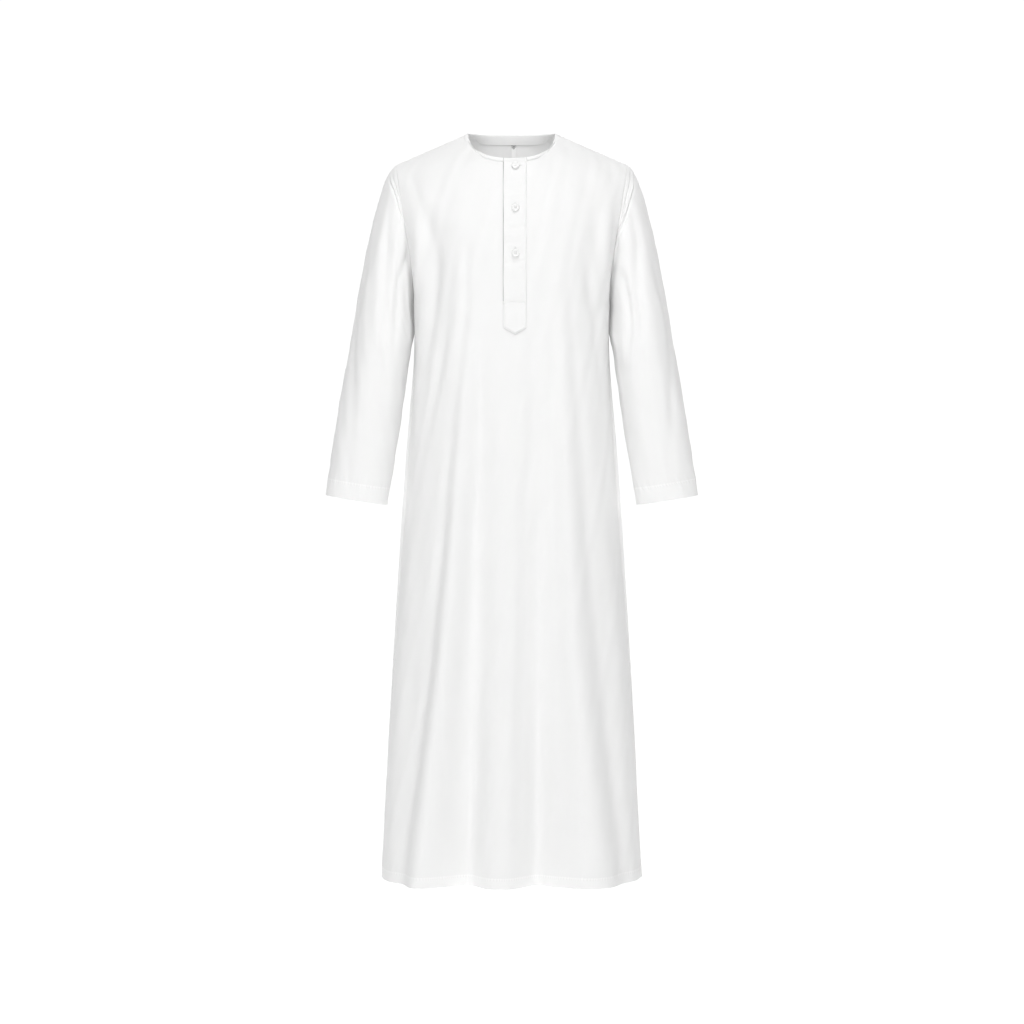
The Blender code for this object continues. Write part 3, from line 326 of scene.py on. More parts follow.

# %% [markdown]
# ## Folds
#
# A robe that hangs free throws long folds from the chest and shoulders, and they grow towards the
# hem. Each fold is listed one by one: a table gives its place across the body, its width and its
# depth at a few heights, and a valley has a negative depth. The depth moves the cloth along its
# own normals, so a fold bends round the body as cloth does. A simulation could make folds too,
# but it would give others on each try, and a tailor's sample always hangs in these.

# %% Folds of the front
Fold = namedtuple("Fold", "name rows")  # rows of (height, place across, width, depth)
FRONT_FOLDS = (
    Fold("right_crest", (
        (-0.2, -0.082, 0.018, 0.0), (-0.26, -0.085, 0.019, 0.003), (-0.5, -0.0954, 0.0225, 0.011),
        (-0.8, -0.112, 0.027, 0.018), (-1.1, -0.1384, 0.0315, 0.027),
        (-1.4, -0.168, 0.036, 0.038))),
    Fold("right_valley", (
        (-0.28, -0.05, 0.022, 0.0), (-0.54, -0.057, 0.025, -0.0085),
        (-0.825, -0.066, 0.029, -0.021), (-1.11, -0.0797, 0.033, -0.035),
        (-1.4, -0.095, 0.036, -0.052))),
    Fold("left_valley", (
        (-0.28, 0.055, 0.022, 0.0), (-0.54, 0.0537, 0.026, -0.0085), (-0.825, 0.053, 0.03, -0.023),
        (-1.11, 0.0533, 0.034, -0.039), (-1.4, 0.054, 0.036, -0.06))),
    Fold("left_crest", (
        (-0.2, 0.091, 0.02, 0.0), (-0.26, 0.092, 0.021, 0.002), (-0.5, 0.0961, 0.026, 0.006),
        (-0.8, 0.106, 0.032, 0.013), (-1.1, 0.1306, 0.038, 0.021), (-1.4, 0.16, 0.044, 0.032))),
    Fold("right_edge_crest", (
        (-0.6, -0.18, 0.014, 0.0), (-0.85, -0.197, 0.016, 0.005), (-1.1, -0.211, 0.018, 0.008),
        (-1.4, -0.226, 0.018, 0.009))),
    Fold("left_edge_crest", (
        (-0.7, 0.18, 0.014, 0.0), (-0.93, 0.196, 0.015, 0.004), (-1.2, 0.212, 0.017, 0.005),
        (-1.4, 0.226, 0.018, 0.005))),
    Fold("right_arm_trough", (
        (-0.18, -0.138, 0.01, 0.0), (-0.244, -0.145, 0.01, -0.0045),
        (-0.318, -0.153, 0.01, -0.0055), (-0.392, -0.16, 0.01, -0.004),
        (-0.466, -0.167, 0.01, -0.002), (-0.58, -0.18, 0.012, 0.0))),
    Fold("right_chest_trough", (
        (-0.17, -0.104, 0.009, 0.0), (-0.244, -0.114, 0.009, -0.002),
        (-0.318, -0.122, 0.009, -0.0025), (-0.392, -0.134, 0.01, -0.0045),
        (-0.466, -0.146, 0.011, -0.004), (-0.56, -0.162, 0.011, 0.0))),
    Fold("right_chest_hollow", (
        (-0.1, -0.155, 0.022, 0.0), (-0.17, -0.15, 0.024, -0.007), (-0.235, -0.146, 0.024, -0.008),
        (-0.31, -0.146, 0.022, -0.005), (-0.38, -0.152, 0.02, 0.0))),
    Fold("right_side_trough", (
        (-0.16, -0.082, 0.01, 0.0), (-0.244, -0.0835, 0.01, -0.0045),
        (-0.392, -0.0945, 0.012, -0.006), (-0.559, -0.112, 0.012, -0.0075),
        (-0.744, -0.127, 0.013, -0.009), (-0.929, -0.1455, 0.014, -0.0095),
        (-1.114, -0.166, 0.015, -0.009), (-1.28, -0.186, 0.015, -0.0085),
        (-1.4, -0.197, 0.015, -0.0085))),
    Fold("right_inner_trough", (
        (-0.3, -0.062, 0.01, 0.0), (-0.392, -0.06, 0.011, -0.003), (-0.559, -0.064, 0.012, -0.0045),
        (-0.744, -0.0775, 0.013, -0.0055), (-0.929, -0.0905, 0.014, -0.0055),
        (-1.114, -0.107, 0.015, -0.0055), (-1.4, -0.133, 0.016, -0.005))),
    Fold("centre_trough", (
        (-0.32, 0.038, 0.01, 0.0), (-0.392, 0.038, 0.011, -0.0015), (-0.466, 0.036, 0.011, -0.002),
        (-0.559, 0.036, 0.011, -0.003), (-0.651, 0.025, 0.011, -0.003),
        (-0.744, 0.0214, 0.011, -0.003), (-0.836, 0.023, 0.012, -0.004),
        (-1.021, 0.017, 0.013, -0.005), (-1.4, 0.012, 0.014, -0.006))),
    Fold("left_inner_trough", (
        (-0.3, 0.078, 0.01, 0.0), (-0.392, 0.079, 0.011, -0.004), (-0.559, 0.08, 0.012, -0.006),
        (-0.744, 0.084, 0.013, -0.007), (-0.929, 0.09, 0.014, -0.007),
        (-1.114, 0.098, 0.015, -0.007), (-1.4, 0.102, 0.016, -0.006))),
    Fold("left_side_trough", (
        (-0.2, 0.102, 0.01, 0.0), (-0.318, 0.11, 0.011, -0.0022), (-0.466, 0.122, 0.012, -0.003),
        (-0.559, 0.13, 0.013, -0.0032), (-0.744, 0.14, 0.014, -0.0036),
        (-0.836, 0.148, 0.015, -0.004), (-1.021, 0.168, 0.016, -0.0045),
        (-1.206, 0.188, 0.016, -0.005), (-1.4, 0.209, 0.017, -0.005))),
    Fold("left_arm_trough", (
        (-0.17, 0.138, 0.012, 0.0), (-0.244, 0.1454, 0.012, -0.005),
        (-0.318, 0.1565, 0.011, -0.0045), (-0.392, 0.164, 0.01, -0.003),
        (-0.466, 0.173, 0.01, -0.002), (-0.56, 0.18, 0.012, 0.0))),
    Fold("right_shoulder_trough", (
        (-0.03, -0.19, 0.01, 0.0), (-0.06, -0.184, 0.01, -0.002), (-0.12, -0.166, 0.012, -0.0025),
        (-0.17, -0.15, 0.012, -0.002), (-0.24, -0.137, 0.012, 0.0))),
    Fold("left_shoulder_trough", (
        (-0.04, 0.18, 0.01, 0.0), (-0.095, 0.17, 0.01, -0.002), (-0.15, 0.157, 0.012, -0.0025),
        (-0.22, 0.148, 0.012, 0.0))),
)
print(len(FRONT_FOLDS), "folds in front")

# %% [markdown]
# The back hangs from the shoulder blades, so its folds start lower and lie wider apart. One
# shallow trough runs down the hollow of the back.

# %% Folds of the back
BACK_FOLDS = (
    Fold("back_right_crest", (
        (-0.55, -0.105, 0.024, 0.0), (-0.62, -0.106, 0.025, 0.003), (-0.97, -0.12, 0.032, 0.016),
        (-1.4, -0.16, 0.04, 0.032))),
    Fold("back_right_valley", (
        (-0.5, -0.05, 0.022, 0.0), (-0.58, -0.051, 0.023, -0.003), (-0.95, -0.062, 0.03, -0.019),
        (-1.4, -0.082, 0.038, -0.038))),
    Fold("back_left_valley", (
        (-0.45, 0.046, 0.022, 0.0), (-0.53, 0.047, 0.023, -0.003), (-0.93, 0.056, 0.029, -0.017),
        (-1.4, 0.07, 0.036, -0.034))),
    Fold("back_left_crest", (
        (-0.55, 0.1, 0.024, 0.0), (-0.62, 0.101, 0.025, 0.003), (-0.97, 0.118, 0.032, 0.015),
        (-1.4, 0.148, 0.04, 0.03))),
    Fold("back_hollow", (
        (-0.3, 0.01, 0.018, 0.0), (-0.38, 0.006, 0.018, -0.004), (-0.55, -0.004, 0.02, -0.004),
        (-0.7, -0.009, 0.022, -0.003), (-0.82, -0.01, 0.022, 0.0))),
    Fold("back_right_blade_trough", (
        (-0.12, -0.142, 0.01, 0.0), (-0.22, -0.128, 0.011, -0.003), (-0.36, -0.118, 0.012, -0.0035),
        (-0.52, -0.124, 0.013, -0.0025), (-0.66, -0.132, 0.014, 0.0))),
    Fold("back_left_blade_trough", (
        (-0.1, 0.15, 0.01, 0.0), (-0.2, 0.136, 0.011, -0.003), (-0.33, 0.122, 0.012, -0.003),
        (-0.5, 0.116, 0.013, -0.003), (-0.7, 0.126, 0.014, 0.0))),
    Fold("back_right_arm_trough", (
        (-0.2, -0.162, 0.009, 0.0), (-0.29, -0.158, 0.01, -0.0025), (-0.42, -0.162, 0.011, -0.002),
        (-0.54, -0.172, 0.012, 0.0))),
    Fold("back_left_arm_trough", (
        (-0.22, 0.16, 0.009, 0.0), (-0.31, 0.156, 0.01, -0.0025), (-0.45, 0.163, 0.011, -0.002),
        (-0.58, 0.176, 0.012, 0.0))),
    Fold("back_right_side_trough", (
        (-0.62, -0.15, 0.012, 0.0), (-0.8, -0.164, 0.013, -0.004), (-1.1, -0.19, 0.015, -0.0055),
        (-1.4, -0.212, 0.016, -0.006))),
    Fold("back_left_side_trough", (
        (-0.58, 0.152, 0.012, 0.0), (-0.76, 0.162, 0.013, -0.004), (-1.05, 0.184, 0.015, -0.0055),
        (-1.4, 0.206, 0.016, -0.006))),
    Fold("back_centre_trough", (
        (-0.74, 0.012, 0.012, 0.0), (-0.9, 0.008, 0.013, -0.003), (-1.15, 0.004, 0.014, -0.004),
        (-1.4, -0.002, 0.015, -0.004))),
)
FOLDS = {FRONT: FRONT_FOLDS, BACK: BACK_FOLDS}
print(len(FRONT_FOLDS), "folds in front and", len(BACK_FOLDS), "behind")

# %% [markdown]
# ## Pressing the folds into the cloth
#
# Two small things are added to the folds, or the cloth would look like sheet metal. No worn cloth
# is perfectly smooth, so a few faint waves run across it, and the hem puckers a little where the
# thread pulls it in. Both are sums of sines, which give the same result on every run.

# %% Unevenness and puckers
# Slight unevenness: waves across and up per metre, phase and height.
Wave = namedtuple("Wave", "across up phase height")
WAVES = (
    Wave(17.0, 3.1, 0.4, 0.00035), Wave(-23.0, 5.3, 1.9, 0.00030), Wave(31.0, -7.9, 4.1, 0.00022),
    Wave(9.0, 13.7, 2.6, 0.00028), Wave(-41.0, 11.3, 0.9, 0.00014), Wave(13.0, -21.0, 5.2, 0.00016),
)
# Puckers: each wave's share of the height, its number per metre, and how it drifts along the seam.
Pucker = namedtuple("Pucker", "share rate drift drift_rate drift_phase")
PUCKERS = (Pucker(1.0, 92, 2.1, 7.3, 0.0), Pucker(0.7, 61, 1.7, 5.1, 1.0))
PUCKER_HEIGHT = 0.00035
PUCKER_REACH = 0.010  # how far from the thread they die out
PUCKER_PLACE = 0.001  # of the thread, below the upper edge of a turn-up


def fold_push(folds, place, height):
    """How far the folds move cloth outwards at these places and heights."""
    push = np.zeros_like(place)
    for fold in folds:
        centre, width, depth = np.moveaxis(read(fold.rows, height), -1, 0)
        push += depth * bell(place - centre, width)
    return push


def unevenness(across, up):
    """A slight waviness of the cloth, from its distances across and up in metres."""
    return sum(w.height * np.sin(TURN * (w.across * across + w.up * up) + w.phase) for w in WAVES)


def puckers(along, from_thread):
    """Small gathers that a line of stitches pulls into the cloth beside it."""
    gather = sum(
        p.share * np.sin(TURN * p.rate * along
                         + p.drift * np.sin(TURN * p.drift_rate * along + p.drift_phase))
        for p in PUCKERS
    )
    return PUCKER_HEIGHT * gather * bell(from_thread, PUCKER_REACH)


print("the cloth waves by at most", round(2 * sum(w.height for w in WAVES) * 1000, 1), "mm")

# %% [markdown]
# A springy sheet can't bend sharply in two directions at once. Where the neck's pull leaves such
# a place on the chest, many small steps even out the change of its curvature, and the outline
# stays.

# %% Directions and distances on a grid
CALM_ROUNDS = 160
CALM_STEP = 0.4


def grid_normals(grid, closed=False):
    """Unit normals of a grid whose rows go up and whose columns go round, seen from outside."""
    if closed:
        padded = np.concatenate([grid[:, -1:], grid, grid[:, :1]], axis=1)
        along = np.gradient(padded, axis=1)[:, 1:-1]
    else:
        along = np.gradient(grid, axis=1)
    return unit(np.cross(along, np.gradient(grid, axis=0)))


def bend(grid):
    """How far each inner point lies from the middle of its four neighbours."""
    result = np.zeros_like(grid)
    neighbours = grid[2:, 1:-1] + grid[:-2, 1:-1] + grid[1:-1, 2:] + grid[1:-1, :-2]
    result[1:-1, 1:-1] = neighbours / 4 - grid[1:-1, 1:-1]
    return result


def calmed(grid, weight):
    """The grid after the bends that are too tight for a springy sheet have been eased."""
    grid = grid.copy()
    for _ in range(CALM_ROUNDS):
        grid -= CALM_STEP * weight[..., None] * bend(bend(grid))
    return grid


def distances_in(grid):
    """Distance of each grid point from the first column and from the first row, along the cloth."""
    across = np.linalg.norm(np.diff(grid, axis=1), axis=2).cumsum(axis=1)
    up = np.linalg.norm(np.diff(grid, axis=0), axis=2).cumsum(axis=0)
    return np.pad(across, ((0, 0), (1, 0))), np.pad(up, ((1, 0), (0, 0)))


flat_grid = np.stack([*np.meshgrid(np.arange(3.0), np.arange(3.0)), np.zeros((3, 3))], axis=-1)
print("the normal of a level grid:", grid_normals(flat_grid)[1, 1])

# %% [markdown]
# Now the panels are drawn. The folds die out at the side seams, where the seam holds the cloth
# straight. A shallow ditch runs along each seam, as sewn cloth sinks in there, and another one
# below the neck binding, whose stitches press the cloth down. Both are real dents in the grid, so
# that they catch the light from every side.

# %% Panels with their folds
SIDE_FADE = 0.10  # share of the half panel over which folds die out at the side seam
TOP_FADE = 0.08  # share of the upper panel over which the unevenness dies out
CALM_EDGE = 0.06  # share of the half panel at the side seams that isn't calmed
CALM_FROM, CALM_OVER = 0.3, 0.3  # shares of the upper panel
SEAM_DITCHES = ((0.03, 0.0008), (-0.11, 0.0008), (-0.16, 0.0010), (-0.20, 0.0022),
                (-0.285, 0.0028), (-0.32, 0.0010), (-1.38, 0.0009))    # height, depth of the ditch
DITCH_WIDTH = 0.0022
SHOULDER_DITCH = 0.0008
NECK_DITCH, NECK_DITCH_PLACE, NECK_DITCH_WIDTH = 0.0011, 0.0088, 0.0018  # below the neck edge
NECK_SIDE_FADE = 0.05  # from the neck's ditch to the shoulder's, in half panels


def body_panel(side):
    """Outer face of the front or back, how far its folds push it, and its cloth distances."""
    lower = np.array([body_section(height, side, ACROSS) for height in LOWER_HEIGHTS])
    upper = upper_panel(side, ACROSS, UPPER_SHARES)
    inside = smooth_step((1 - np.abs(ACROSS)) / CALM_EDGE)
    weight = smooth_step((UPPER_SHARES - CALM_FROM) / CALM_OVER)[:, None] * inside
    grid = np.concatenate([lower, calmed(upper, weight)])
    if side == BACK:
        grid = grid[:, ::-1]
    across, up = distances_in(grid)
    across -= across[:, len(ACROSS) // 2][:, None]
    to_side = smooth_step((1 - np.abs(ACROSS)) / SIDE_FADE)
    to_top = np.concatenate([np.ones(FIRST_UPPER), smooth_step((1 - UPPER_SHARES) / TOP_FADE)])
    push = fold_push(FOLDS[side], grid[..., 0], grid[..., 2]) * to_side
    push += unevenness(across, up) * (to_side * to_top[:, None])
    push += puckers(across, up - HEM_TURN_UP + PUCKER_PLACE)
    return grid, push, across, up


panels = {}
for name, side in (("front", FRONT), ("back", BACK)):
    grid, push, across, up = body_panel(side)
    normals = grid_normals(grid)
    edge = np.minimum(across - across[:, :1], across[:, -1:] - across)
    push -= read(SEAM_DITCHES, grid[..., 2])[..., 0] * bell(edge, DITCH_WIDTH)
    beside_neck = smooth_step((np.abs(ACROSS) - NECK_SHARE) / NECK_SIDE_FADE)
    from_top = up[-1] - up
    push -= SHOULDER_DITCH * bell(from_top, DITCH_WIDTH) * beside_neck
    push -= NECK_DITCH * bell(from_top - NECK_DITCH_PLACE, NECK_DITCH_WIDTH) * (1 - beside_neck)
    panels[name] = grid + normals * push[..., None]
    hem = np.ptp(across, axis=1)[0]
    print(f"{name}: {grid.shape[0]} x {grid.shape[1]} points, {hem:.3f} m at the hem")

# %% [markdown]
# ## Sleeves
#
# A sleeve is one tube, sewn along the underarm and set into the armhole. It could be cut flat and
# rolled, but its cap then never meets the armhole exactly. So its top row is the armhole itself,
# its next rows swing out and down over the shoulder, and from below the underarm it narrows
# straight to the cuff. A turn of 0 is the outer side, 0.25 the front, 0.5 the underarm, 0.75 the
# back.

# %% Sleeve tables
CUFF_TURN_UP = 0.032
UPPER_RING = (0.2482, 0.000, -0.365)  # centre of the ring below the underarm, for +X
CUFF_RING = (0.2942, -0.012, -0.6555)  # centre of the sleeve's open end
ARRIVE_PULL = 0.95
Leave = namedtuple("Leave", "turn out forward down")
SLEEVE_LEAVES = (
    Leave(0.000, 0.100, 0.000, 0.040), Leave(0.125, 0.060, 0.040, 0.080),
    Leave(0.250, 0.025, 0.040, 0.090), Leave(0.3125, 0.030, 0.018, 0.080),
    Leave(0.375, 0.034, -0.012, 0.075), Leave(0.4375, 0.024, -0.020, 0.085),
    Leave(0.500, 0.008, 0.000, 0.095), Leave(0.5625, 0.024, 0.010, 0.085),
    Leave(0.625, 0.036, -0.010, 0.070),
    Leave(0.750, 0.025, -0.045, 0.090), Leave(0.875, 0.060, -0.040, 0.080),
    Leave(1.000, 0.100, 0.000, 0.040),
)
Ring = namedtuple("Ring", "share half_width half_depth")
SLEEVE_RINGS = (Ring(0.0, 0.0575, 0.076), Ring(0.5, 0.0600, 0.056), Ring(1.0, 0.0592, 0.037))
# Turns of the armhole's points: they were laid out at these shares of the panel's height.
ARMHOLE_TURNS = tuple(zip(
    (0.0, 0.06, 0.15, 0.26, 0.38, 0.50, 0.62, 0.74, 0.84, 0.92, 1.0), np.linspace(0.5, 0, 11)
))
print("a sleeve is", 2 * SLEEVE_RINGS[-1].half_width, "m wide at the cuff")

# %% [markdown]
# The folds of a sleeve wind round it, from the front of the shoulder towards the underarm. Their
# place is given as a turn. The two sleeves are not mirror images, because no two sleeves fall
# alike.

# %% Folds of the sleeves
UNDERARM = Fold("underarm", (
    (-0.285, 0.47, 0.045, 0.0), (-0.310, 0.47, 0.045, 0.0020), (-0.335, 0.47, 0.045, 0.0040),
    (-0.352, 0.47, 0.045, 0.0030), (-0.368, 0.47, 0.045, 0.0)))
RIGHT_SLEEVE_FOLDS = (
    Fold("main", (
        (-0.1, 0.13, 0.03, 0.0), (-0.167, 0.161, 0.028, -0.006), (-0.24, 0.209, 0.028, -0.0065),
        (-0.315, 0.25, 0.027, -0.006), (-0.39, 0.297, 0.026, -0.004), (-0.47, 0.34, 0.026, 0.0))),
    Fold("second", (
        (-0.12, 0.32, 0.022, 0.0), (-0.167, 0.302, 0.022, -0.004), (-0.24, 0.28, 0.022, -0.004),
        (-0.315, 0.318, 0.022, -0.0045), (-0.38, 0.34, 0.022, 0.0))),
    Fold("outer", (
        (-0.18, 0.07, 0.03, 0.0), (-0.24, 0.063, 0.03, -0.003), (-0.315, 0.065, 0.03, -0.003),
        (-0.39, 0.1, 0.03, -0.0035), (-0.465, 0.15, 0.03, -0.003), (-0.558, 0.181, 0.03, -0.002),
        (-0.64, 0.2, 0.03, 0.0))),
    Fold("back", (
        (-0.14, 0.86, 0.03, 0.0), (-0.22, 0.82, 0.028, -0.006), (-0.34, 0.77, 0.027, -0.0055),
        (-0.44, 0.72, 0.026, -0.003), (-0.52, 0.7, 0.026, 0.0))),
    Fold("elbow", (
        (-0.34, 0.62, 0.03, 0.0), (-0.42, 0.66, 0.03, -0.0035), (-0.5, 0.72, 0.03, -0.003),
        (-0.6, 0.78, 0.03, 0.0))),
    UNDERARM,
)
LEFT_SLEEVE_FOLDS = (
    Fold("main", (
        (-0.07, 0.14, 0.028, 0.0), (-0.167, 0.153, 0.028, -0.0055), (-0.24, 0.208, 0.028, -0.0065),
        (-0.315, 0.239, 0.028, -0.006), (-0.39, 0.278, 0.028, -0.004), (-0.47, 0.31, 0.028, 0.0))),
    Fold("second", (
        (-0.065, 0.12, 0.016, 0.0), (-0.1, 0.21, 0.016, -0.0025), (-0.16, 0.277, 0.018, -0.003),
        (-0.197, 0.312, 0.018, -0.0025), (-0.23, 0.34, 0.018, 0.0))),
    Fold("third", (
        (-0.22, 0.27, 0.022, 0.0), (-0.25, 0.279, 0.022, -0.004), (-0.326, 0.309, 0.022, -0.005),
        (-0.372, 0.343, 0.022, -0.003), (-0.42, 0.37, 0.022, 0.0))),
    Fold("outer", (
        (-0.18, 0.09, 0.03, 0.0), (-0.24, 0.079, 0.03, -0.003), (-0.315, 0.067, 0.03, -0.0035),
        (-0.39, 0.1, 0.03, -0.003), (-0.465, 0.146, 0.03, -0.003), (-0.558, 0.192, 0.03, -0.002),
        (-0.64, 0.2, 0.03, 0.0))),
    Fold("back", (
        (-0.12, 0.87, 0.028, 0.0), (-0.22, 0.83, 0.028, -0.006), (-0.33, 0.78, 0.027, -0.0055),
        (-0.42, 0.74, 0.026, -0.003), (-0.5, 0.72, 0.026, 0.0))),
    Fold("elbow", (
        (-0.36, 0.63, 0.03, 0.0), (-0.43, 0.67, 0.03, -0.003), (-0.52, 0.73, 0.03, -0.003),
        (-0.61, 0.77, 0.03, 0.0))),
    UNDERARM,
)
print(len(RIGHT_SLEEVE_FOLDS), "folds on the right sleeve,", len(LEFT_SLEEVE_FOLDS), "on the left")

# %% [markdown]
# A sleeve is a little longer round its top than the armhole is, and the extra cloth shows as a
# fan of fine creases over the shoulder. They are only 2 mm wide, so they get a table of their
# own, and the grid has close rows there.

# %% Creases over the shoulders
# Rows of (turn, distance from the armhole, width, depth).
RIGHT_CAP_CREASES = (
    Fold("outer_crease", (
        (0.02, 0.023, 0.0028, 0.0), (0.06, 0.0215, 0.0028, -0.0016),
        (0.12, 0.0165, 0.0026, -0.0024), (0.18, 0.01, 0.0024, -0.0024),
        (0.23, 0.0045, 0.0022, -0.0018), (0.27, 0.0015, 0.0022, 0.0))),
    Fold("outer_ridge", (
        (0.02, 0.019, 0.0028, 0.0), (0.06, 0.0175, 0.0028, 0.0012), (0.12, 0.0128, 0.0026, 0.0016),
        (0.18, 0.007, 0.0024, 0.0014), (0.23, 0.0025, 0.0022, 0.0))),
    Fold("inner_crease", (
        (0.03, 0.0125, 0.0022, 0.0), (0.07, 0.0115, 0.0022, -0.0012),
        (0.12, 0.0085, 0.002, -0.0018), (0.18, 0.0045, 0.002, -0.0016),
        (0.22, 0.0015, 0.002, 0.0))),
)
LEFT_CAP_CREASES = (
    Fold("outer_ridge", (
        (0.0, 0.014, 0.003, 0.0), (0.04, 0.0185, 0.003, 0.0016), (0.09, 0.0225, 0.0028, 0.0026),
        (0.14, 0.0215, 0.0028, 0.0028), (0.19, 0.0155, 0.0026, 0.0026),
        (0.235, 0.007, 0.0024, 0.002), (0.28, 0.001, 0.0024, 0.0))),
    Fold("outer_crease", (
        (0.02, 0.021, 0.003, 0.0), (0.06, 0.025, 0.003, -0.0012), (0.12, 0.027, 0.003, -0.0016),
        (0.18, 0.0215, 0.003, -0.0018), (0.235, 0.0125, 0.0028, -0.0014),
        (0.28, 0.005, 0.0026, 0.0))),
    Fold("inner_crease", (
        (0.02, 0.01, 0.0024, 0.0), (0.07, 0.0125, 0.0024, -0.0012), (0.13, 0.012, 0.0022, -0.0018),
        (0.19, 0.0065, 0.002, -0.0018), (0.24, 0.0015, 0.002, 0.0))),
)
print(len(RIGHT_CAP_CREASES) + len(LEFT_CAP_CREASES), "creases over the two shoulders")

# %% [markdown]
# The sleeve's grid is lofted: a cubic curve leads from each point of the armhole to the ring
# below the underarm, and straight lines lead on to the cuff.

# %% Sleeve grids
LOFT_ROWS = 66
STRAIGHT_ROWS = 46
TYPICAL_LOFT = 0.22  # length of cloth from the armhole to the ring
CAP_LINES = np.concatenate([[0, 0.0008, 0.0018], np.arange(0.0030, 0.0330, 0.0014)])
FIRST_PLAIN_ROW = 0.0340  # from the armhole
CUFF_LINES = (0.0, 0.0006, 0.0016, 0.0035, 0.0070, 0.0110, 0.0150, 0.0190, 0.0230, 0.0265, 0.0285,
              0.0298, 0.0306, 0.0314, 0.0322, 0.0332, 0.0346, 0.0370, 0.0410)
FOLD_START, CREASE_START = 0.012, 0.004  # distances over which they set in
WAVE_SHIFT = 0.4  # so that the sleeves' faint waves differ from the body's


def armhole(side_x):
    """Points from the shoulder down the front to the underarm and up the back, and their turns."""
    front = panels["front"][FIRST_UPPER:, 0 if side_x < 0 else -1]
    back = panels["back"][FIRST_UPPER:, -1 if side_x < 0 else 0]
    turns = read(ARMHOLE_TURNS, UPPER_SHARES)[:, 0]
    points = np.concatenate([front[::-1], back[1:-1]])
    return points, np.concatenate([turns[::-1], 1 - turns[1:-1]])


def sleeve(side_x, folds, creases):
    """Outer face of a sleeve, its rows going from the cuff up to the armhole."""
    hole, turns = armhole(side_x)
    mirror = np.array([side_x, 1, 1])
    upper, cuff = np.array(UPPER_RING) * mirror, np.array(CUFF_RING) * mirror
    axis = unit(cuff - upper)
    outward = unit(np.cross(axis, (0, side_x, 0)))
    length = np.linalg.norm(cuff - upper)

    def ring(share):
        half_width, half_depth = read(SLEEVE_RINGS, share)
        angle = TURN * turns[:, None]
        sideways = outward * half_width * np.cos(angle)
        return (upper + (cuff - upper) * share + sideways
                - np.array([0, half_depth, 0]) * np.sin(angle))

    leaves = read(SLEEVE_LEAVES, turns)
    pulls = np.stack([side_x * leaves[:, 0], -leaves[:, 1], -leaves[:, 2]], axis=-1)
    first = ring(0.0)
    arrive = axis * np.linalg.norm(first - hole, axis=1, keepdims=True) * ARRIVE_PULL
    loft_shares = np.concatenate([
        CAP_LINES / TYPICAL_LOFT,
        np.linspace(FIRST_PLAIN_ROW / TYPICAL_LOFT, 1, LOFT_ROWS + 1)[:-1],
    ])
    loft = [hermite(hole, pulls, first, arrive, np.full(len(turns), share))
            for share in loft_shares]
    cuff_shares = 1 - np.array(CUFF_LINES)[::-1] / length
    straight_shares = np.concatenate([
        np.linspace(0, cuff_shares[0], STRAIGHT_ROWS + 1)[:-1], cuff_shares,
    ])
    grid = np.array(loft + [ring(share) for share in straight_shares])[::-1]
    if side_x > 0:
        grid, turns = grid[:, ::-1], turns[::-1]
    across, up = distances_in(grid)
    from_hole = up[-1] - up
    all_turns = np.broadcast_to(turns, from_hole.shape)
    push = fold_push(folds, all_turns, grid[..., 2])
    push += unevenness(across * side_x + WAVE_SHIFT, up)
    push *= smooth_step(from_hole / FOLD_START)
    push += fold_push(creases, from_hole, all_turns) * smooth_step(from_hole / CREASE_START)
    push += puckers(across, up - CUFF_TURN_UP + PUCKER_PLACE)
    return grid + grid_normals(grid, closed=True) * push[..., None]


CAP_CREASES = {-1: RIGHT_CAP_CREASES, 1: LEFT_CAP_CREASES}
sleeves = {
    -1: sleeve(-1, RIGHT_SLEEVE_FOLDS, CAP_CREASES[-1]),
    1: sleeve(1, LEFT_SLEEVE_FOLDS, CAP_CREASES[1]),
}
for side_x, grid in sleeves.items():
    girth = run_length(grid[0])[-1]
    rows, columns = grid.shape[:2]
    print(f"sleeve at {side_x:+d}: {rows} x {columns} points, {girth:.3f} m round the cuff")

# %% [markdown]
# ## Shade in the crevice
#
# Where a sleeve lies close to the body, very little light gets in, and the seam reads as a dark
# line. Soft studio light in a model fills such a place too much. So each point of a sleeve keeps
# a number, the share of light that is lost there, and the sleeve's cotton is darkened by it: a
# painted shade. It belongs to the place on the cloth and not to the view. A fainter painted shade
# lies among the cap's creases, between the armhole and the ridge.

# %% Shade beside the body
Shade = namedtuple("Shade", "height from_edge width lost")  # from the edge of the body
SEAM_SHADES = (
    Shade(-0.130, 0.0010, 0.0020, 0.0), Shade(-0.156, 0.0015, 0.0025, 0.14),
    Shade(-0.189, 0.0055, 0.0055, 0.17), Shade(-0.226, 0.0060, 0.0050, 0.24),
    Shade(-0.281, 0.0055, 0.0042, 0.34), Shade(-0.318, 0.0035, 0.0034, 0.38),
    Shade(-0.345, 0.0030, 0.0032, 0.38), Shade(-0.372, 0.0030, 0.0035, 0.0),
)
CAP_SHADE = 0.040  # lost between the armhole and the ridge of the cap
CAP_SHADE_EDGE = 0.0035  # how softly it ends at the ridge
CAP_FIRST_TURN, CAP_LAST_TURN, CAP_TURN_FADE = 0.01, 0.27, 0.05


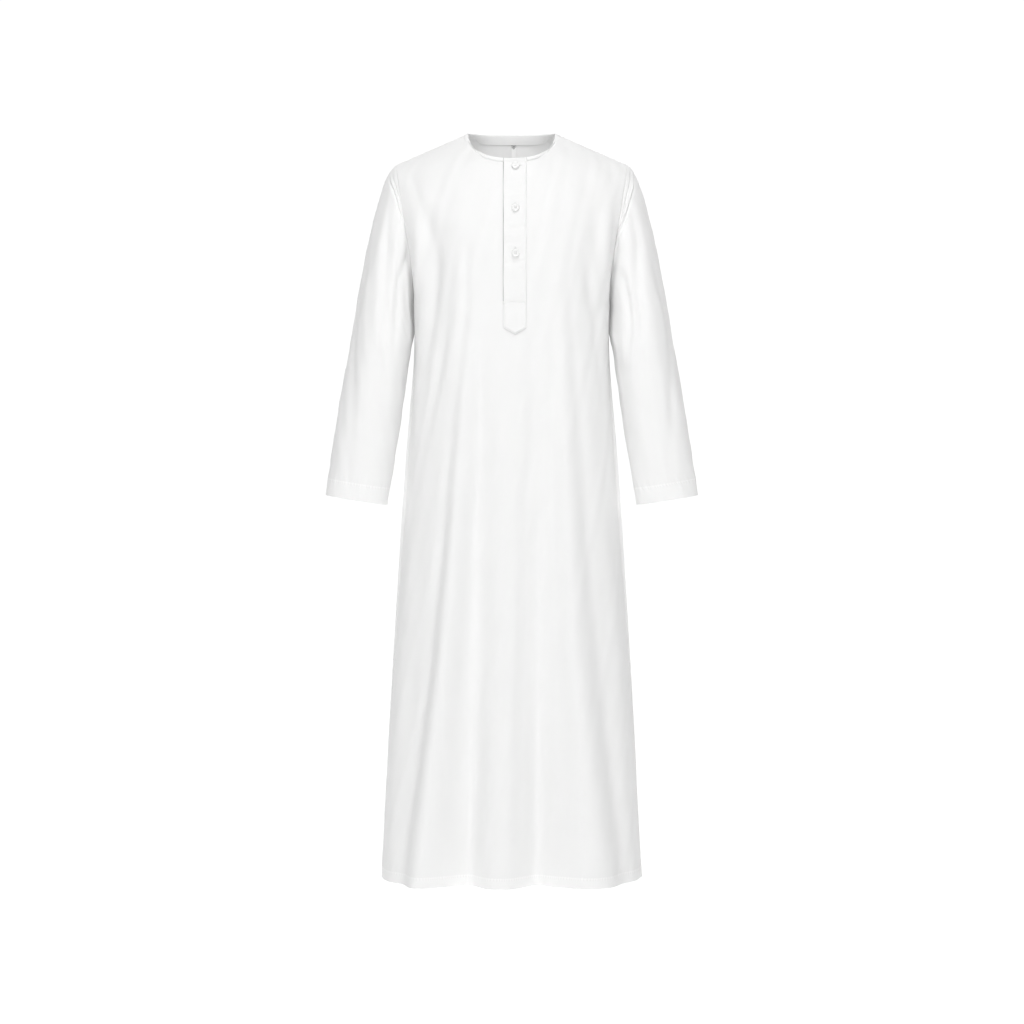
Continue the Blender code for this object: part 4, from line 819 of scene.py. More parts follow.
def seam_shade(side_x):
    """How much light each point of a sleeve loses beside the body and among the cap's creases."""
    grid, edge = sleeves[side_x], panels["front"][:, 0 if side_x < 0 else -1]
    height = grid[..., 2]
    beside = np.abs(grid[..., 0]) - np.interp(height, edge[:, 2], np.abs(edge[:, 0]))
    middle, width, lost = np.moveaxis(read(SEAM_SHADES, height), -1, 0)
    turns = armhole(side_x)[1][::-side_x]
    ridge = next(fold for fold in CAP_CREASES[side_x] if fold.name == "outer_ridge")
    up = distances_in(grid)[1]
    inside_ridge = read(ridge.rows, turns)[:, 0] - (up[-1] - up)
    among = smooth_step(inside_ridge / CAP_SHADE_EDGE + 0.5)
    among *= smooth_step((turns - CAP_FIRST_TURN) / CAP_TURN_FADE)
    among *= smooth_step((CAP_LAST_TURN - turns) / CAP_TURN_FADE)
    return lost * bell(beside - middle, width) + CAP_SHADE * among


shades = {side_x: seam_shade(side_x) for side_x in sleeves}
print("most light lost:", {side_x: round(float(lost.max()), 2) for side_x, lost in shades.items()})

# %% [markdown]
# ## From grids to cloth
#
# A sheet of faces has no thickness and would show paper-thin edges. A Solidify modifier could
# thicken it, but not fold up a hem. So each panel becomes a closed shell: the outer face, a
# rounded fold at the hem, the folded-up layer inside, the inner face, and a narrow edge at the
# seams. The UV map holds the cloth's own distances in metres, so that the weave later runs along
# the thread, round every fold.

# %% Meshes and their UV maps
def add_uv(mesh, name, uv):
    corners = np.empty(len(mesh.loops), np.int32)
    mesh.loops.foreach_get("vertex_index", corners)
    layer = mesh.uv_layers.new(name=name)
    layer.data.foreach_set("uv", np.asarray(uv, np.float32)[corners].ravel())


def add_object(name, mesh):
    thing = bpy.data.objects.new(name, mesh)
    bpy.context.scene.collection.objects.link(thing)
    return thing


def to_mesh(name, points, faces, uv=None):
    """A smooth-shaded object from points and faces."""
    mesh = bpy.data.meshes.new(name)
    mesh.from_pydata(np.asarray(points, float).tolist(), [], [tuple(face) for face in faces])
    if uv is not None:
        add_uv(mesh, "cloth_metres", uv)
    mesh.shade_smooth()
    return add_object(name, mesh)


def grid_faces(rows, columns, round_rows=False, round_columns=False):
    """Quads of a grid of points, seen from the side where rows go up and columns go right."""
    row, column = np.meshgrid(
        np.arange(rows if round_rows else rows - 1),
        np.arange(columns if round_columns else columns - 1), indexing="ij",
    )
    after_row, after_column = (row + 1) % rows, (column + 1) % columns
    quads = np.stack([
        row * columns + column, row * columns + after_column,
        after_row * columns + after_column, after_row * columns + column,
    ], axis=-1)
    return quads.reshape(-1, 4).tolist()


print("a grid of 3 x 4 points has", len(grid_faces(3, 4)), "faces")

# %% [markdown]
# A shell is one loop of rows: up the outer face, over the top edge, down the inner face and round
# the fold of the hem. A sleeve's rows are closed, while a panel also needs a face at each side of
# the loop.

# %% Shells of cloth
CLOTH = 0.0009  # one layer
TURNED_UP = 0.0021  # two layers and the stitching between them
TURN_EDGE = 0.0012  # how far the second layer takes to set in
FOLD_ROWS = 5  # of the rounded fold


def half_round(start, end, outwards):
    """Rows of points on half a circle from one line of points to another."""
    middle, reach = (start + end) / 2, np.linalg.norm(end - start, axis=1, keepdims=True) / 2
    angles = np.linspace(0, math.pi, FOLD_ROWS + 2)[1:-1]
    return [middle + (start - middle) * math.cos(a) + outwards * reach * math.sin(a)
            for a in angles]


def side_faces(count, rows, columns):
    """Faces that close a panel's shell at its first and last column."""
    faces = []
    for column, turned_round in ((0, False), (columns - 1, True)):
        # An inner row lies twice as far along the loop as the top edge does, less its own place.
        strips = [[row, row + 1, 2 * count - row - 1, 2 * count - row] for row in range(count - 1)]
        strips += [[count - 1, count, count + 1], [*range(2 * count, rows), 0]]
        for strip in strips:
            face = [place * columns + column for place in strip]
            faces.append(face[::-1] if turned_round else face)
    return faces


def round_the_loop(values):
    """The values of the outer face's rows, for every row of its shell."""
    return np.concatenate([values, values[-1:], values[::-1], [values[0]] * FOLD_ROWS])


def cloth_shell(name, grid, turn_up, closed=False, shade=None):
    """A closed shell, its outer face the grid. Its lowest turn_up metres are folded up inside."""
    across, up = distances_in(grid)
    in_turn = smooth_step((turn_up - up) / TURN_EDGE + 0.5)
    depth = CLOTH + (TURNED_UP - CLOTH) * in_turn
    inner = grid - grid_normals(grid, closed) * depth[..., None]
    hem_fold = half_round(inner[0], grid[0], unit(grid[0] - grid[1]))
    top_edge = [(grid[-1] + inner[-1]) / 2]
    loop = np.concatenate([grid, top_edge, inner[::-1], hem_fold])
    rows, columns = loop.shape[:2]
    faces = grid_faces(rows, columns, round_rows=True, round_columns=closed)
    if not closed:
        faces += side_faces(len(grid), rows, columns)
    uv = np.stack([round_the_loop(across), round_the_loop(up)], axis=-1).reshape(-1, 2)
    piece = to_mesh(name, loop.reshape(-1, 3), faces, uv)
    if shade is not None:
        lost = round_the_loop(shade).ravel()
        add_uv(piece.data, "lost_light", np.stack([lost, lost], axis=-1))
    return piece


print(f"one layer is {CLOTH * 1000:.1f} mm thick, {TURNED_UP * 1000:.1f} mm where it is turned up")

# %% [markdown]
# ## Laying trims on the cloth
#
# The binding, placket, buttons and stitches all lie on the panels. Each needs to know where the
# cloth is at some place. A Shrinkwrap modifier could pull them on, but it would flatten them, so
# the finished panels go into a BVH tree, which finds the nearest face of the cloth quickly.

# %% Finding the cloth
FRAME_REACH = 0.005  # over which the cloth's directions are measured


class Lining:
    """Answers where the cloth's outer face is."""

    def __init__(self, grids):
        points, faces = [], []
        for grid in grids:
            rows, columns = grid.shape[:2]
            first = len(points)
            faces += [[place + first for place in face] for face in grid_faces(rows, columns)]
            points += grid.reshape(-1, 3).tolist()
        self.tree = BVHTree.FromPolygons(points, faces)

    def near(self, point):
        return np.array(self.tree.find_nearest(Vector(point))[0])

    def ahead(self, x, z, side=FRONT):
        """The place that is met from the front, or from behind, at x and z."""
        hit = self.tree.ray_cast(Vector((x, side, z)), Vector((0, -side, 0)))[0]
        return np.array(hit)

    def frame_ahead(self, x, z):
        """Place, and unit vectors across, up and out of the cloth there."""
        place, reach = self.ahead(x, z), FRAME_REACH
        up = unit(self.ahead(x, z + reach) - self.ahead(x, z - reach))
        across = unit(self.ahead(x + reach, z) - self.ahead(x - reach, z))
        across = unit(across - up * np.dot(across, up))
        return place, across, up, np.cross(across, up)


cloth = Lining(panels.values())
print("chest, under the middle button:", cloth.ahead(0.007, -0.111).round(4))

# %% [markdown]
# ## The neck line
#
# The neck edge runs once round the front and back panels. The binding needs three things at each
# place along it: the point, the direction out of the cloth and the direction down along the
# cloth. They are averaged a little along the edge, because a tape can't follow every small turn
# of the cloth.

# %% Neck line
NECK_FIRST = len(side_lines) - 1
NECK_LAST = NECK_FIRST + NECK_COLUMNS
PLACKET_CENTRE = 0.006
PLACKET_HALF_WIDTH = 0.022
BAND_LAP = 0.004  # how far below the neck edge the panels end, inside the binding
TRIM_REACH = 0.050
STATION_STEP = 0.0022
OUT_ROUNDS, DOWN_ROUNDS = 14, 2  # of averaging
ON_EDGE = 0.0005  # less than this below the edge, a point isn't moved to the cloth


def round_average(values, rounds):
    for _ in range(rounds):
        values = unit(np.roll(values, 1, axis=0) + 2 * values + np.roll(values, -1, axis=0))
    return values


def round_neck(front, back):
    """A front and back row's values once round the neck, from the placket back to the placket."""
    ring = np.concatenate([front[NECK_FIRST:NECK_LAST + 1], back[NECK_FIRST + 1:NECK_LAST]])
    ring = np.roll(ring, -neck_start, axis=0)
    return np.concatenate([ring, ring[:1]])


front_edge = panels["front"][-1, NECK_FIRST:NECK_LAST + 1]
neck_start = int(np.argmin(np.abs(front_edge[:NECK_COLUMNS, 0] - PLACKET_CENTRE)))
ring = round_neck(panels["front"][-1], panels["back"][-1])
ring_normals = round_neck(*[grid_normals(panel)[-1] for panel in panels.values()])
ring_lengths = run_length(ring)
stations = np.arange(0, ring_lengths[-1], STATION_STEP)
NECK_POINTS, NECK_NORMALS = at_lengths(ring_lengths, stations, ring, ring_normals)
NECK_NORMALS = round_average(unit(NECK_NORMALS), OUT_ROUNDS)
neck_along = unit(np.roll(NECK_POINTS, -1, axis=0) - np.roll(NECK_POINTS, 1, axis=0))
NECK_DOWN = round_average(unit(np.cross(neck_along, NECK_NORMALS)), DOWN_ROUNDS)


def below_neck(place, depth, out):
    """A point so far below the neck edge at a station, and so far out of the cloth."""
    point = NECK_POINTS[place] + NECK_DOWN[place] * depth
    if depth > ON_EDGE:
        point = cloth.near(point)
    return point + NECK_NORMALS[place] * out


def trimmed(grid):
    """A panel that ends inside the binding at the neck."""
    grid = grid.copy()
    for column in range(NECK_FIRST, NECK_LAST + 1):
        lengths = run_length(grid[:, column])
        share = smooth_step((lengths - lengths[-1] + TRIM_REACH) / TRIM_REACH)
        grid[:, column] = at_lengths(lengths, lengths - BAND_LAP * share, grid[:, column])[0]
    return grid


print(f"the neck edge is {ring_lengths[-1]:.3f} m round")

# %% [markdown]
# The four large pieces are made now. The two panels end inside the binding, and their hems and
# the sleeves' ends are folded up inside.

# %% The four large pieces
front = cloth_shell("front_cloth", trimmed(panels["front"]), HEM_TURN_UP)
back = cloth_shell("back_cloth", trimmed(panels["back"]), HEM_TURN_UP)
sleeve_right, sleeve_left = [
    cloth_shell(f"sleeve_{name}_cloth", sleeves[side_x], CUFF_TURN_UP, True, shades[side_x])
    for name, side_x in (("right", -1), ("left", 1))
]
for piece in (front, back, sleeve_right, sleeve_left):
    print(piece.name, len(piece.data.polygons), "faces")

# %% [markdown]
# ## Neck binding
#
# The raw neck edge is wrapped in a strip of the same cloth. It shows 7 mm deep outside and forms
# an 18 mm facing inside. A curve with a bevel could go round the neck too, but would turn its
# section where the neck bends. So the section is drawn once, as depths below the edge and
# distances out of the cloth, and carried round the neck from one edge of the placket to the
# other.

# %% Neck binding
BAND_SECTION = (
    (0.0069, 0.0002), (0.0071, 0.0007), (0.0068, 0.0011), (0.0060, 0.0012), (0.0050, 0.0013),
    (0.0035, 0.0016), (0.0020, 0.0017), (0.0006, 0.0016), (-0.0004, 0.0013), (-0.0010, 0.0007),
    (-0.0012, -0.0003), (-0.0010, -0.0014), (-0.0003, -0.0021), (0.0010, -0.0024),
    (0.0030, -0.0025), (0.0060, -0.0023), (0.0100, -0.0022), (0.0140, -0.0020),
    (0.0165, -0.0022), (0.0176, -0.0022), (0.0181, -0.0018), (0.0179, -0.0013),
    (0.0150, -0.0011), (0.0080, -0.0011), (0.0020, -0.0011), (0.0010, -0.0004),
    (0.0020, 0.0002), (0.0050, 0.0002),
)
BAND_END_GAP = -0.0022  # its ends are tucked in beside the placket
BAND_SEARCH = 20  # stations at each end of the neck line that pass the placket's edge
EVEN_ROUNDS = 8  # the nearest faces make a slightly uneven line, which is evened out


def length_at(x, part):
    """Length along the neck line at which a part of it passes x."""
    return float(np.interp(x, NECK_POINTS[part, 0], stations[part]))


band_reach = PLACKET_HALF_WIDTH + BAND_END_GAP
BAND_START = length_at(PLACKET_CENTRE + band_reach, slice(BAND_SEARCH))
BAND_END = length_at(PLACKET_CENTRE - band_reach, slice(-BAND_SEARCH, None))
band_places = [place for place, at in enumerate(stations) if BAND_START < at < BAND_END]


def band_line(depth, out):
    """Points along the binding at one place of its section."""
    line = np.array([below_neck(place, depth, out) for place in band_places])
    for _ in range(EVEN_ROUNDS):
        line[1:-1] = (line[:-2] + 2 * line[1:-1] + line[2:]) / 4
    return line


rings = np.stack([band_line(depth, out) for depth, out in BAND_SECTION], axis=1)
count, sides = rings.shape[:2]
binding_faces = grid_faces(count, sides, round_columns=True)
binding_faces += [range(sides)[::-1], range((count - 1) * sides, count * sides)]
section_lengths = run_length(np.array(BAND_SECTION))
binding_uv = np.stack(np.meshgrid(stations[:count], section_lengths, indexing="ij"), axis=-1)
binding = to_mesh(
    "neck_binding", rings.reshape(-1, 3), binding_faces, binding_uv.reshape(-1, 2)
)
print(f"the binding is {BAND_END - BAND_START:.3f} m long")

# %% [markdown]
# ## Placket
#
# The front opening is covered by a strip with a pointed end. Its free edge lies on the wearer's
# right and stands slightly off the cloth, and a line of stitches pulls the other edge down. A
# flat strip with a bevel would look like card. So it is a grid of points laid on the front,
# raised by a height that says where it is thick, rounded, stitched or crumpled.

# %% Sizes of the placket
PLACKET_TIP_HEIGHT = -0.346
PLACKET_SHOULDER_HEIGHT = -0.333
PLACKET_THICK = 0.0024
PLACKET_GAP = 0.0002
STITCH_INSET = 0.0020
CROSS_STITCH_HEIGHT = -0.2835
LEVEL_ABOVE = -0.295  # from here up the placket's rows of points are level
PLACKET_ROWS = 150
PLACKET_COLUMNS = 19  # between the close ones at its edges
EDGE_LINES = np.array(
    (0.0, 0.00012, 0.0003, 0.0006, 0.0010, 0.0014, 0.0018, 0.0022, 0.0026, 0.0032, 0.0040)
)
PLAIN_INSET, TOP_INSET = 0.0055, 0.0045  # of the first lines that aren't close
CROSS_LINES = np.arange(-0.0016, 0.0017, 0.0004)  # close rows at the cross stitch
tip_slant = (PLACKET_SHOULDER_HEIGHT - PLACKET_TIP_HEIGHT) / PLACKET_HALF_WIDTH
tip_cosine = math.cos(math.atan(tip_slant))
print(f"placket: {2 * PLACKET_HALF_WIDTH:.3f} m wide, its tip {-PLACKET_TIP_HEIGHT:.3f} m down")

# %% [markdown]
# The strip's columns run straight down from the neck edge, and its rows follow the cloth. Each
# point is found by looking at the cloth from the front. Near the point of the tip the rows lean
# with it, and above the cross stitch they are level, so that its groove falls along a row.

# %% Laying a strip on the front
NECK_SEARCH = 25  # stations on each side of the placket
EDGE_REACH = 0.0006  # nearer to the neck edge than this, no cloth is looked for


def neck_place(x):
    """The neck line's point at x, in front, and its direction down."""
    order = np.concatenate([
        np.arange(len(stations) - NECK_SEARCH, len(stations)), np.arange(NECK_SEARCH),
    ])
    return at_lengths(NECK_POINTS[order, 0], x, NECK_POINTS[order], NECK_DOWN[order])


def strip_grid(xs, row_shares, bottom_heights, above):
    """Points on the front, from above the neck edge down to the bottom heights. Rows go up."""
    grid = np.empty((len(row_shares), len(xs), 3))
    lowest = min(bottom_heights)
    for column, (x, bottom) in enumerate(zip(xs, bottom_heights)):
        edge, down = neck_place(x)
        top = edge - down * above
        for row, share in enumerate(row_shares):
            level = lowest + (top[2] - lowest) * share
            leaning = max(0.0, (LEVEL_ABOVE - level) / (LEVEL_ABOVE - lowest))
            z = level + (bottom - lowest) * leaning
            if z > edge[2] - EDGE_REACH:
                grid[row, column] = edge + down * (edge[2] - z) / -down[2]
            else:
                grid[row, column] = cloth.ahead(x, z)
    return grid


edge_shares = EDGE_LINES / -PLACKET_TIP_HEIGHT
placket_reach = neck_place(PLACKET_CENTRE)[0][2] - PLACKET_TIP_HEIGHT
cross_shares = (CROSS_STITCH_HEIGHT - PLACKET_TIP_HEIGHT + CROSS_LINES) / placket_reach
plain_shares = np.linspace(
    PLAIN_INSET / -PLACKET_TIP_HEIGHT, 1 - TOP_INSET / -PLACKET_TIP_HEIGHT, PLACKET_ROWS
)
plain_columns = np.linspace(
    -PLACKET_HALF_WIDTH + PLAIN_INSET, PLACKET_HALF_WIDTH - PLAIN_INSET, PLACKET_COLUMNS
)
placket_s = np.concatenate([
    EDGE_LINES - PLACKET_HALF_WIDTH, plain_columns, PLACKET_HALF_WIDTH - EDGE_LINES[::-1],
])
bottoms = PLACKET_TIP_HEIGHT + np.abs(placket_s) * tip_slant
laid = strip_grid(
    PLACKET_CENTRE + placket_s,
    np.sort(np.concatenate([edge_shares, plain_shares, 1 - edge_shares[::-1], cross_shares])),
    bottoms, above=0.0010,
)
print("the placket's grid has", laid.shape[0], "x", laid.shape[1], "points")

# %% [markdown]
# The height of the face comes from the distances to the strip's own edges. The edges are rounded,
# the stitches pull grooves along them, a ridge stands below the cross stitch, and between the
# buttons the strip crumples softly across, as a strip does that is folded down and up again in
# every wash.

# %% The placket's face
Crumple = namedtuple("Crumple", "height width size")
CRUMPLES = [Crumple(*row) for row in (
    (-0.062, 0.004, 0.0006), (-0.074, 0.005, -0.0010), (-0.088, 0.004, 0.0006),
    (-0.136, 0.005, 0.0008), (-0.149, 0.004, -0.0012), (-0.163, 0.005, 0.0008),
    (-0.176, 0.004, -0.0007), (-0.212, 0.004, -0.0010), (-0.224, 0.005, 0.0007),
    (-0.246, 0.006, -0.0006), (-0.2745, 0.004, 0.0007), (-0.296, 0.005, -0.0006),
)]
CRUMPLE_SWELL = 1.25
CRUMPLE_LEAN = 0.12  # how far a crumple bends down towards the edges
PUFF, PUFF_EDGE = 0.0004, 0.006  # the strip's slight fullness
ROUNDING = 0.0014  # of its edges
GROOVE_DEPTH, GROOVE_EDGE = 0.0012, 0.0012
SIDE_GROOVE, OTHER_GROOVE = 0.0008, 0.0007  # half widths
CROSS_GROOVE, CROSS_GROOVE_PLACE, CROSS_GROOVE_WIDTH = 0.5, 0.0006, 0.0007
CROSS_RIDGE, CROSS_RIDGE_PLACE, CROSS_RIDGE_WIDTH = 0.6, 0.0009, 0.0009
SEWN_FADE = 0.004  # from the free edge to the sewn one below the cross stitch
FREE_LIFT, FREE_WIDTH, FREE_EDGE = 0.0006, 0.006, 0.0008

z, across_placket = laid[..., 2], np.broadcast_to(placket_s, laid.shape[:2])
from_side, from_free = PLACKET_HALF_WIDTH - across_placket, PLACKET_HALF_WIDTH + across_placket
from_tip, from_top = (z - bottoms) * tip_cosine, z[-1:] - z
outline = np.minimum(np.minimum(from_side, from_free), from_tip)
nearest = np.minimum(outline, from_top)
rounded = np.sqrt(1 - (1 - (nearest / ROUNDING).clip(0, 1)) ** 2)
above_cross = z - CROSS_STITCH_HEIGHT
sewn_below = smooth_step(-above_cross / SEWN_FADE)
groove = np.max([
    bell(from_side - STITCH_INSET, SIDE_GROOVE),
    bell(from_free - STITCH_INSET, OTHER_GROOVE) * sewn_below,
    bell(from_tip - STITCH_INSET, OTHER_GROOVE),
    CROSS_GROOVE * bell(above_cross - CROSS_GROOVE_PLACE, CROSS_GROOVE_WIDTH),
], axis=0)
groove -= CROSS_RIDGE * bell(above_cross + CROSS_RIDGE_PLACE, CROSS_RIDGE_WIDTH)
lean = CRUMPLE_LEAN * across_placket * abs(across_placket) / PLACKET_HALF_WIDTH
puff = sum(CRUMPLE_SWELL * c.size * bell(z - c.height - lean, c.width) for c in CRUMPLES)
face_height = PLACKET_GAP + PLACKET_THICK * rounded
face_height -= GROOVE_DEPTH * groove * smooth_step(nearest / GROOVE_EDGE)
face_height += (puff + PUFF) * smooth_step(nearest / PUFF_EDGE)
free = (1 - sewn_below) * bell(from_free, FREE_WIDTH)
face_height += FREE_LIFT * free * smooth_step(nearest / FREE_EDGE)
laid_normals = grid_normals(laid)
placket_face = laid + laid_normals * face_height[..., None]
print(f"its face stands at most {face_height.max() * 1000:.1f} mm off the cloth")

# %% [markdown]
# The face and a back just off the cloth make a closed strip. Along its edges, where several layers
# lie over each other, the cotton is darkened by a painted shade that stands for the shadow there,
# darkest at the free edge. The strip's second UV map keeps each point's distance from the outline
# and from the free edge, and the cotton uses it later for that painted shade.

# %% Placket
FREE_ENDS, FREE_FADE = 0.02, 0.002  # below the cross stitch the edge isn't free


def flat_shell(name, outer, inner, edges=None):
    """A closed shell between two grids of one size. edges may fill a second UV map."""
    rows, columns = outer.shape[:2]
    inside = rows * columns
    faces = grid_faces(rows, columns)
    faces += [[place + inside for place in face[::-1]] for face in grid_faces(rows, columns)]
    border = [*range(columns), *range(2 * columns - 1, rows * columns, columns)]
    border += [*range((rows - 1) * columns + columns - 2, (rows - 1) * columns - 1, -1)]
    border += [*range((rows - 2) * columns, 0, -columns)]
    for place, after in zip(border, border[1:] + border[:1]):
        faces.append([after, place, place + inside, after + inside])
    uv = np.stack(distances_in(outer), axis=-1).reshape(-1, 2)
    points = np.concatenate([outer.reshape(-1, 3), inner.reshape(-1, 3)])
    piece = to_mesh(name, points, faces, np.concatenate([uv, uv]))
    if edges is not None:
        add_uv(piece.data, "edge_metres", np.concatenate([edges.reshape(-1, 2)] * 2))
    return piece


free_side = from_free + FREE_ENDS * smooth_step(-above_cross / FREE_FADE)
placket = flat_shell(
    "placket_strip", placket_face, laid + laid_normals * (PLACKET_GAP / 2),
    np.stack([outline, free_side], axis=-1),
)
print("the placket has", len(placket.data.polygons), "faces")

# %% [markdown]
# ## Underlap
#
# Behind the opening lies a second, straight strip, which the buttons are sewn to. It only shows
# from inside the neck, so it is a plain folded strip on the inner face of the front, made by the
# same two helpers.

# %% Underlap
UNDERLAP_HALF_WIDTH = 0.0205
UNDERLAP_END_HEIGHT = -0.3050
UNDERLAP_COLUMNS, UNDERLAP_ROWS = 12, 90
UNDERLAP_THICK = 0.0014
UNDERLAP_GAP = 0.0004  # behind the front's inner face
under = strip_grid(
    PLACKET_CENTRE + np.linspace(-UNDERLAP_HALF_WIDTH, UNDERLAP_HALF_WIDTH, UNDERLAP_COLUMNS),
    np.linspace(0, 1, UNDERLAP_ROWS), np.full(UNDERLAP_COLUMNS, UNDERLAP_END_HEIGHT),
    above=0.0002,
)
under_normals = grid_normals(under)
underlap = flat_shell(
    "underlap_strip", under - under_normals * (CLOTH + UNDERLAP_GAP),
    under - under_normals * (CLOTH + UNDERLAP_GAP + UNDERLAP_THICK),
)
print(f"the underlap ends {-UNDERLAP_END_HEIGHT:.3f} m down")

# %% [markdown]
# ## Buttons
#
# Each button is a dished disc with a raised rim and four holes. Its outline is turned round an
# axis, as on a lathe, and a Boolean cuts the holes, which is simpler than weaving them into the
# grid. The mesh is made once and placed three times, each time on the face of the placket and
# square to it.

# %% One button
BUTTON_OUTLINE = (  # radius, height
    (0.0058, 0.0000), (0.0067, 0.0003), (0.0073, 0.0009), (0.0076, 0.0015), (0.0075, 0.0021),
    (0.0071, 0.0026), (0.0065, 0.0028), (0.0060, 0.0027), (0.0056, 0.0023), (0.0052, 0.0019),
    (0.0047, 0.0017), (0.0030, 0.00155), (0.0010, 0.0015),
)
BUTTON_SIDES, HOLE_SIDES = 72, 20
HOLE_RADIUS = 0.00090
HOLE_REACH = 0.00135  # of a hole's centre, to each side of the button's
HOLE_OUTLINE = ((HOLE_RADIUS, -0.002), (HOLE_RADIUS, 0.005))
SHARP_ANGLE = math.radians(50)


def turned(outline, sides, centre=(0.0, 0.0)):
    """Points and faces of an outline of (radius, height) pairs turned about a Z axis."""
    angles = TURN * np.arange(sides) / sides
    points = np.array([
        (centre[0] + radius * math.cos(a), centre[1] + radius * math.sin(a), height)
        for radius, height in outline for a in angles
    ])
    faces = grid_faces(len(outline), sides, round_columns=True)
    return points, faces + [range(sides)[::-1], range(len(points) - sides, len(points))]


def button_mesh():
    disc = to_mesh("button_blank", *turned(BUTTON_OUTLINE, BUTTON_SIDES))
    cutters, faces = [], []
    for side_x, side_y in ((-1, -1), (1, -1), (1, 1), (-1, 1)):
        centre = (side_x * HOLE_REACH, side_y * HOLE_REACH)
        points, hole = turned(HOLE_OUTLINE, HOLE_SIDES, centre)
        faces += [[place + len(cutters) for place in face] for face in hole]
        cutters += points.tolist()
    cutter = to_mesh("hole_cutter", cutters, faces)
    cut = disc.modifiers.new("holes", "BOOLEAN")
    cut.operation, cut.solver, cut.object = "DIFFERENCE", "EXACT", cutter
    bpy.context.view_layer.update()
    graph = bpy.context.evaluated_depsgraph_get()
    done = bpy.data.meshes.new_from_object(disc.evaluated_get(graph))
    for helper in (disc, cutter):
        bpy.data.objects.remove(helper, do_unlink=True)
    done.shade_smooth()
    done.set_sharp_from_angle(angle=SHARP_ANGLE)
    return done


blank = button_mesh()
print("a button has", len(blank.polygons), "faces")

# %% [markdown]
# The threads hold a button a little off the cloth, and so it throws a thin shadow under its rim.
# Each button keeps its seat: its place and its directions across, up and out, which its threads
# and its buttonhole use too.

# %% Placing the buttons
BUTTON_CENTRE = 0.007
BUTTON_HEIGHTS = {"top": -0.0325, "middle": -0.111, "bottom": -0.195}
BUTTON_LIFT = 0.0011
buttons, seats = {}, {}
for name, height in BUTTON_HEIGHTS.items():
    place, across, up, out = cloth.frame_ahead(BUTTON_CENTRE, height)
    base = place + out * (PLACKET_GAP + PLACKET_THICK + BUTTON_LIFT)
    seats[name] = (base, across, up, out)
    mesh = blank.copy()
    corners = np.array([corner.co for corner in mesh.vertices])
    corners = corners @ np.array([across, up, out]) + base
    mesh.vertices.foreach_set("co", corners.astype(np.float32).ravel())
    mesh.update()
    buttons[name] = add_object(f"button_{name}_disc", mesh)
    print(f"{name} button at", base.round(4))

# %% [markdown]
# ## Thread
#
# Stitches are what tells sewn cloth from moulded plastic. A bump in a material could hint at
# them, but it vanishes at the outline. Each one is a short bent thread with thin ends, and a line
# of them is made at once: the same few cross-sections are carried along every stitch and joined
# in one mesh.

# %% Threads and lines of stitches
THREAD_SIDES = 5
THREAD_RADIUS = 0.00022
Section = namedtuple("Section", "share thickness lift")  # along a stitch, in thread radii
STITCH_SHAPE = (
    Section(0.0, 0.35, -0.6), Section(0.2, 0.95, 0.35), Section(0.5, 1.0, 0.7),
    Section(0.8, 0.95, 0.35), Section(1.0, 0.35, -0.6),
)
FACES_A_STITCH = (len(STITCH_SHAPE) - 1) * THREAD_SIDES + 2
HEM_STITCH, FINE_STITCH = (0.0030, 0.0022), (0.0026, 0.0019)  # from stitch to stitch, length


def threads(name, lines, ups, radii):
    """Thin tubes along lines of points, all with the same number of points, as one mesh."""
    lines, ups = np.asarray(lines, float), np.asarray(ups, float)
    radii = np.broadcast_to(radii, lines.shape[:2])
    along = unit(np.gradient(lines, axis=1))
    ups = np.broadcast_to(ups[:, None], lines.shape)
    across = unit(np.cross(along, ups))
    lifts = np.cross(across, along)
    angles = (TURN * np.arange(THREAD_SIDES) / THREAD_SIDES)[:, None]
    around = across[:, :, None] * np.cos(angles) + lifts[:, :, None] * np.sin(angles)
    points = lines[:, :, None] + around * radii[..., None, None]
    count, steps = lines.shape[:2]
    size = steps * THREAD_SIDES
    one = [face[::-1] for face in grid_faces(steps, THREAD_SIDES, round_columns=True)]
    one += [range(THREAD_SIDES), range(size - THREAD_SIDES, size)[::-1]]
    faces = [[place + tube * size for place in face] for tube in range(count) for face in one]
    return to_mesh(name, points.reshape(-1, 3), faces)


def stitch_lines(points, normals, pitch, length):
    """Stitches along a line on the cloth: their points, ups and radii."""
    lengths = run_length(points)
    starts = np.arange(pitch / 2, lengths[-1] - pitch, pitch)
    shares, thick, lift = np.array(STITCH_SHAPE).T
    wanted = (starts[:, None] + shares * length).ravel()
    places, ups = at_lengths(lengths, wanted, points, normals)
    ups = unit(ups)
    places += ups * np.tile(lift, len(starts))[:, None] * THREAD_RADIUS
    shape = (len(starts), len(shares), 3)
    radii = np.tile(thick * THREAD_RADIUS, (len(starts), 1))
    return places.reshape(shape), ups.reshape(shape)[:, 2], radii


def joined(parts):
    return [np.concatenate(column) for column in zip(*parts)]


print("a stitch has", FACES_A_STITCH, "faces")

# %% [markdown]
# The hem and the cuffs are sewn just below the upper edge of their turn-ups. Their grids have a
# row there, and the stitches follow it.

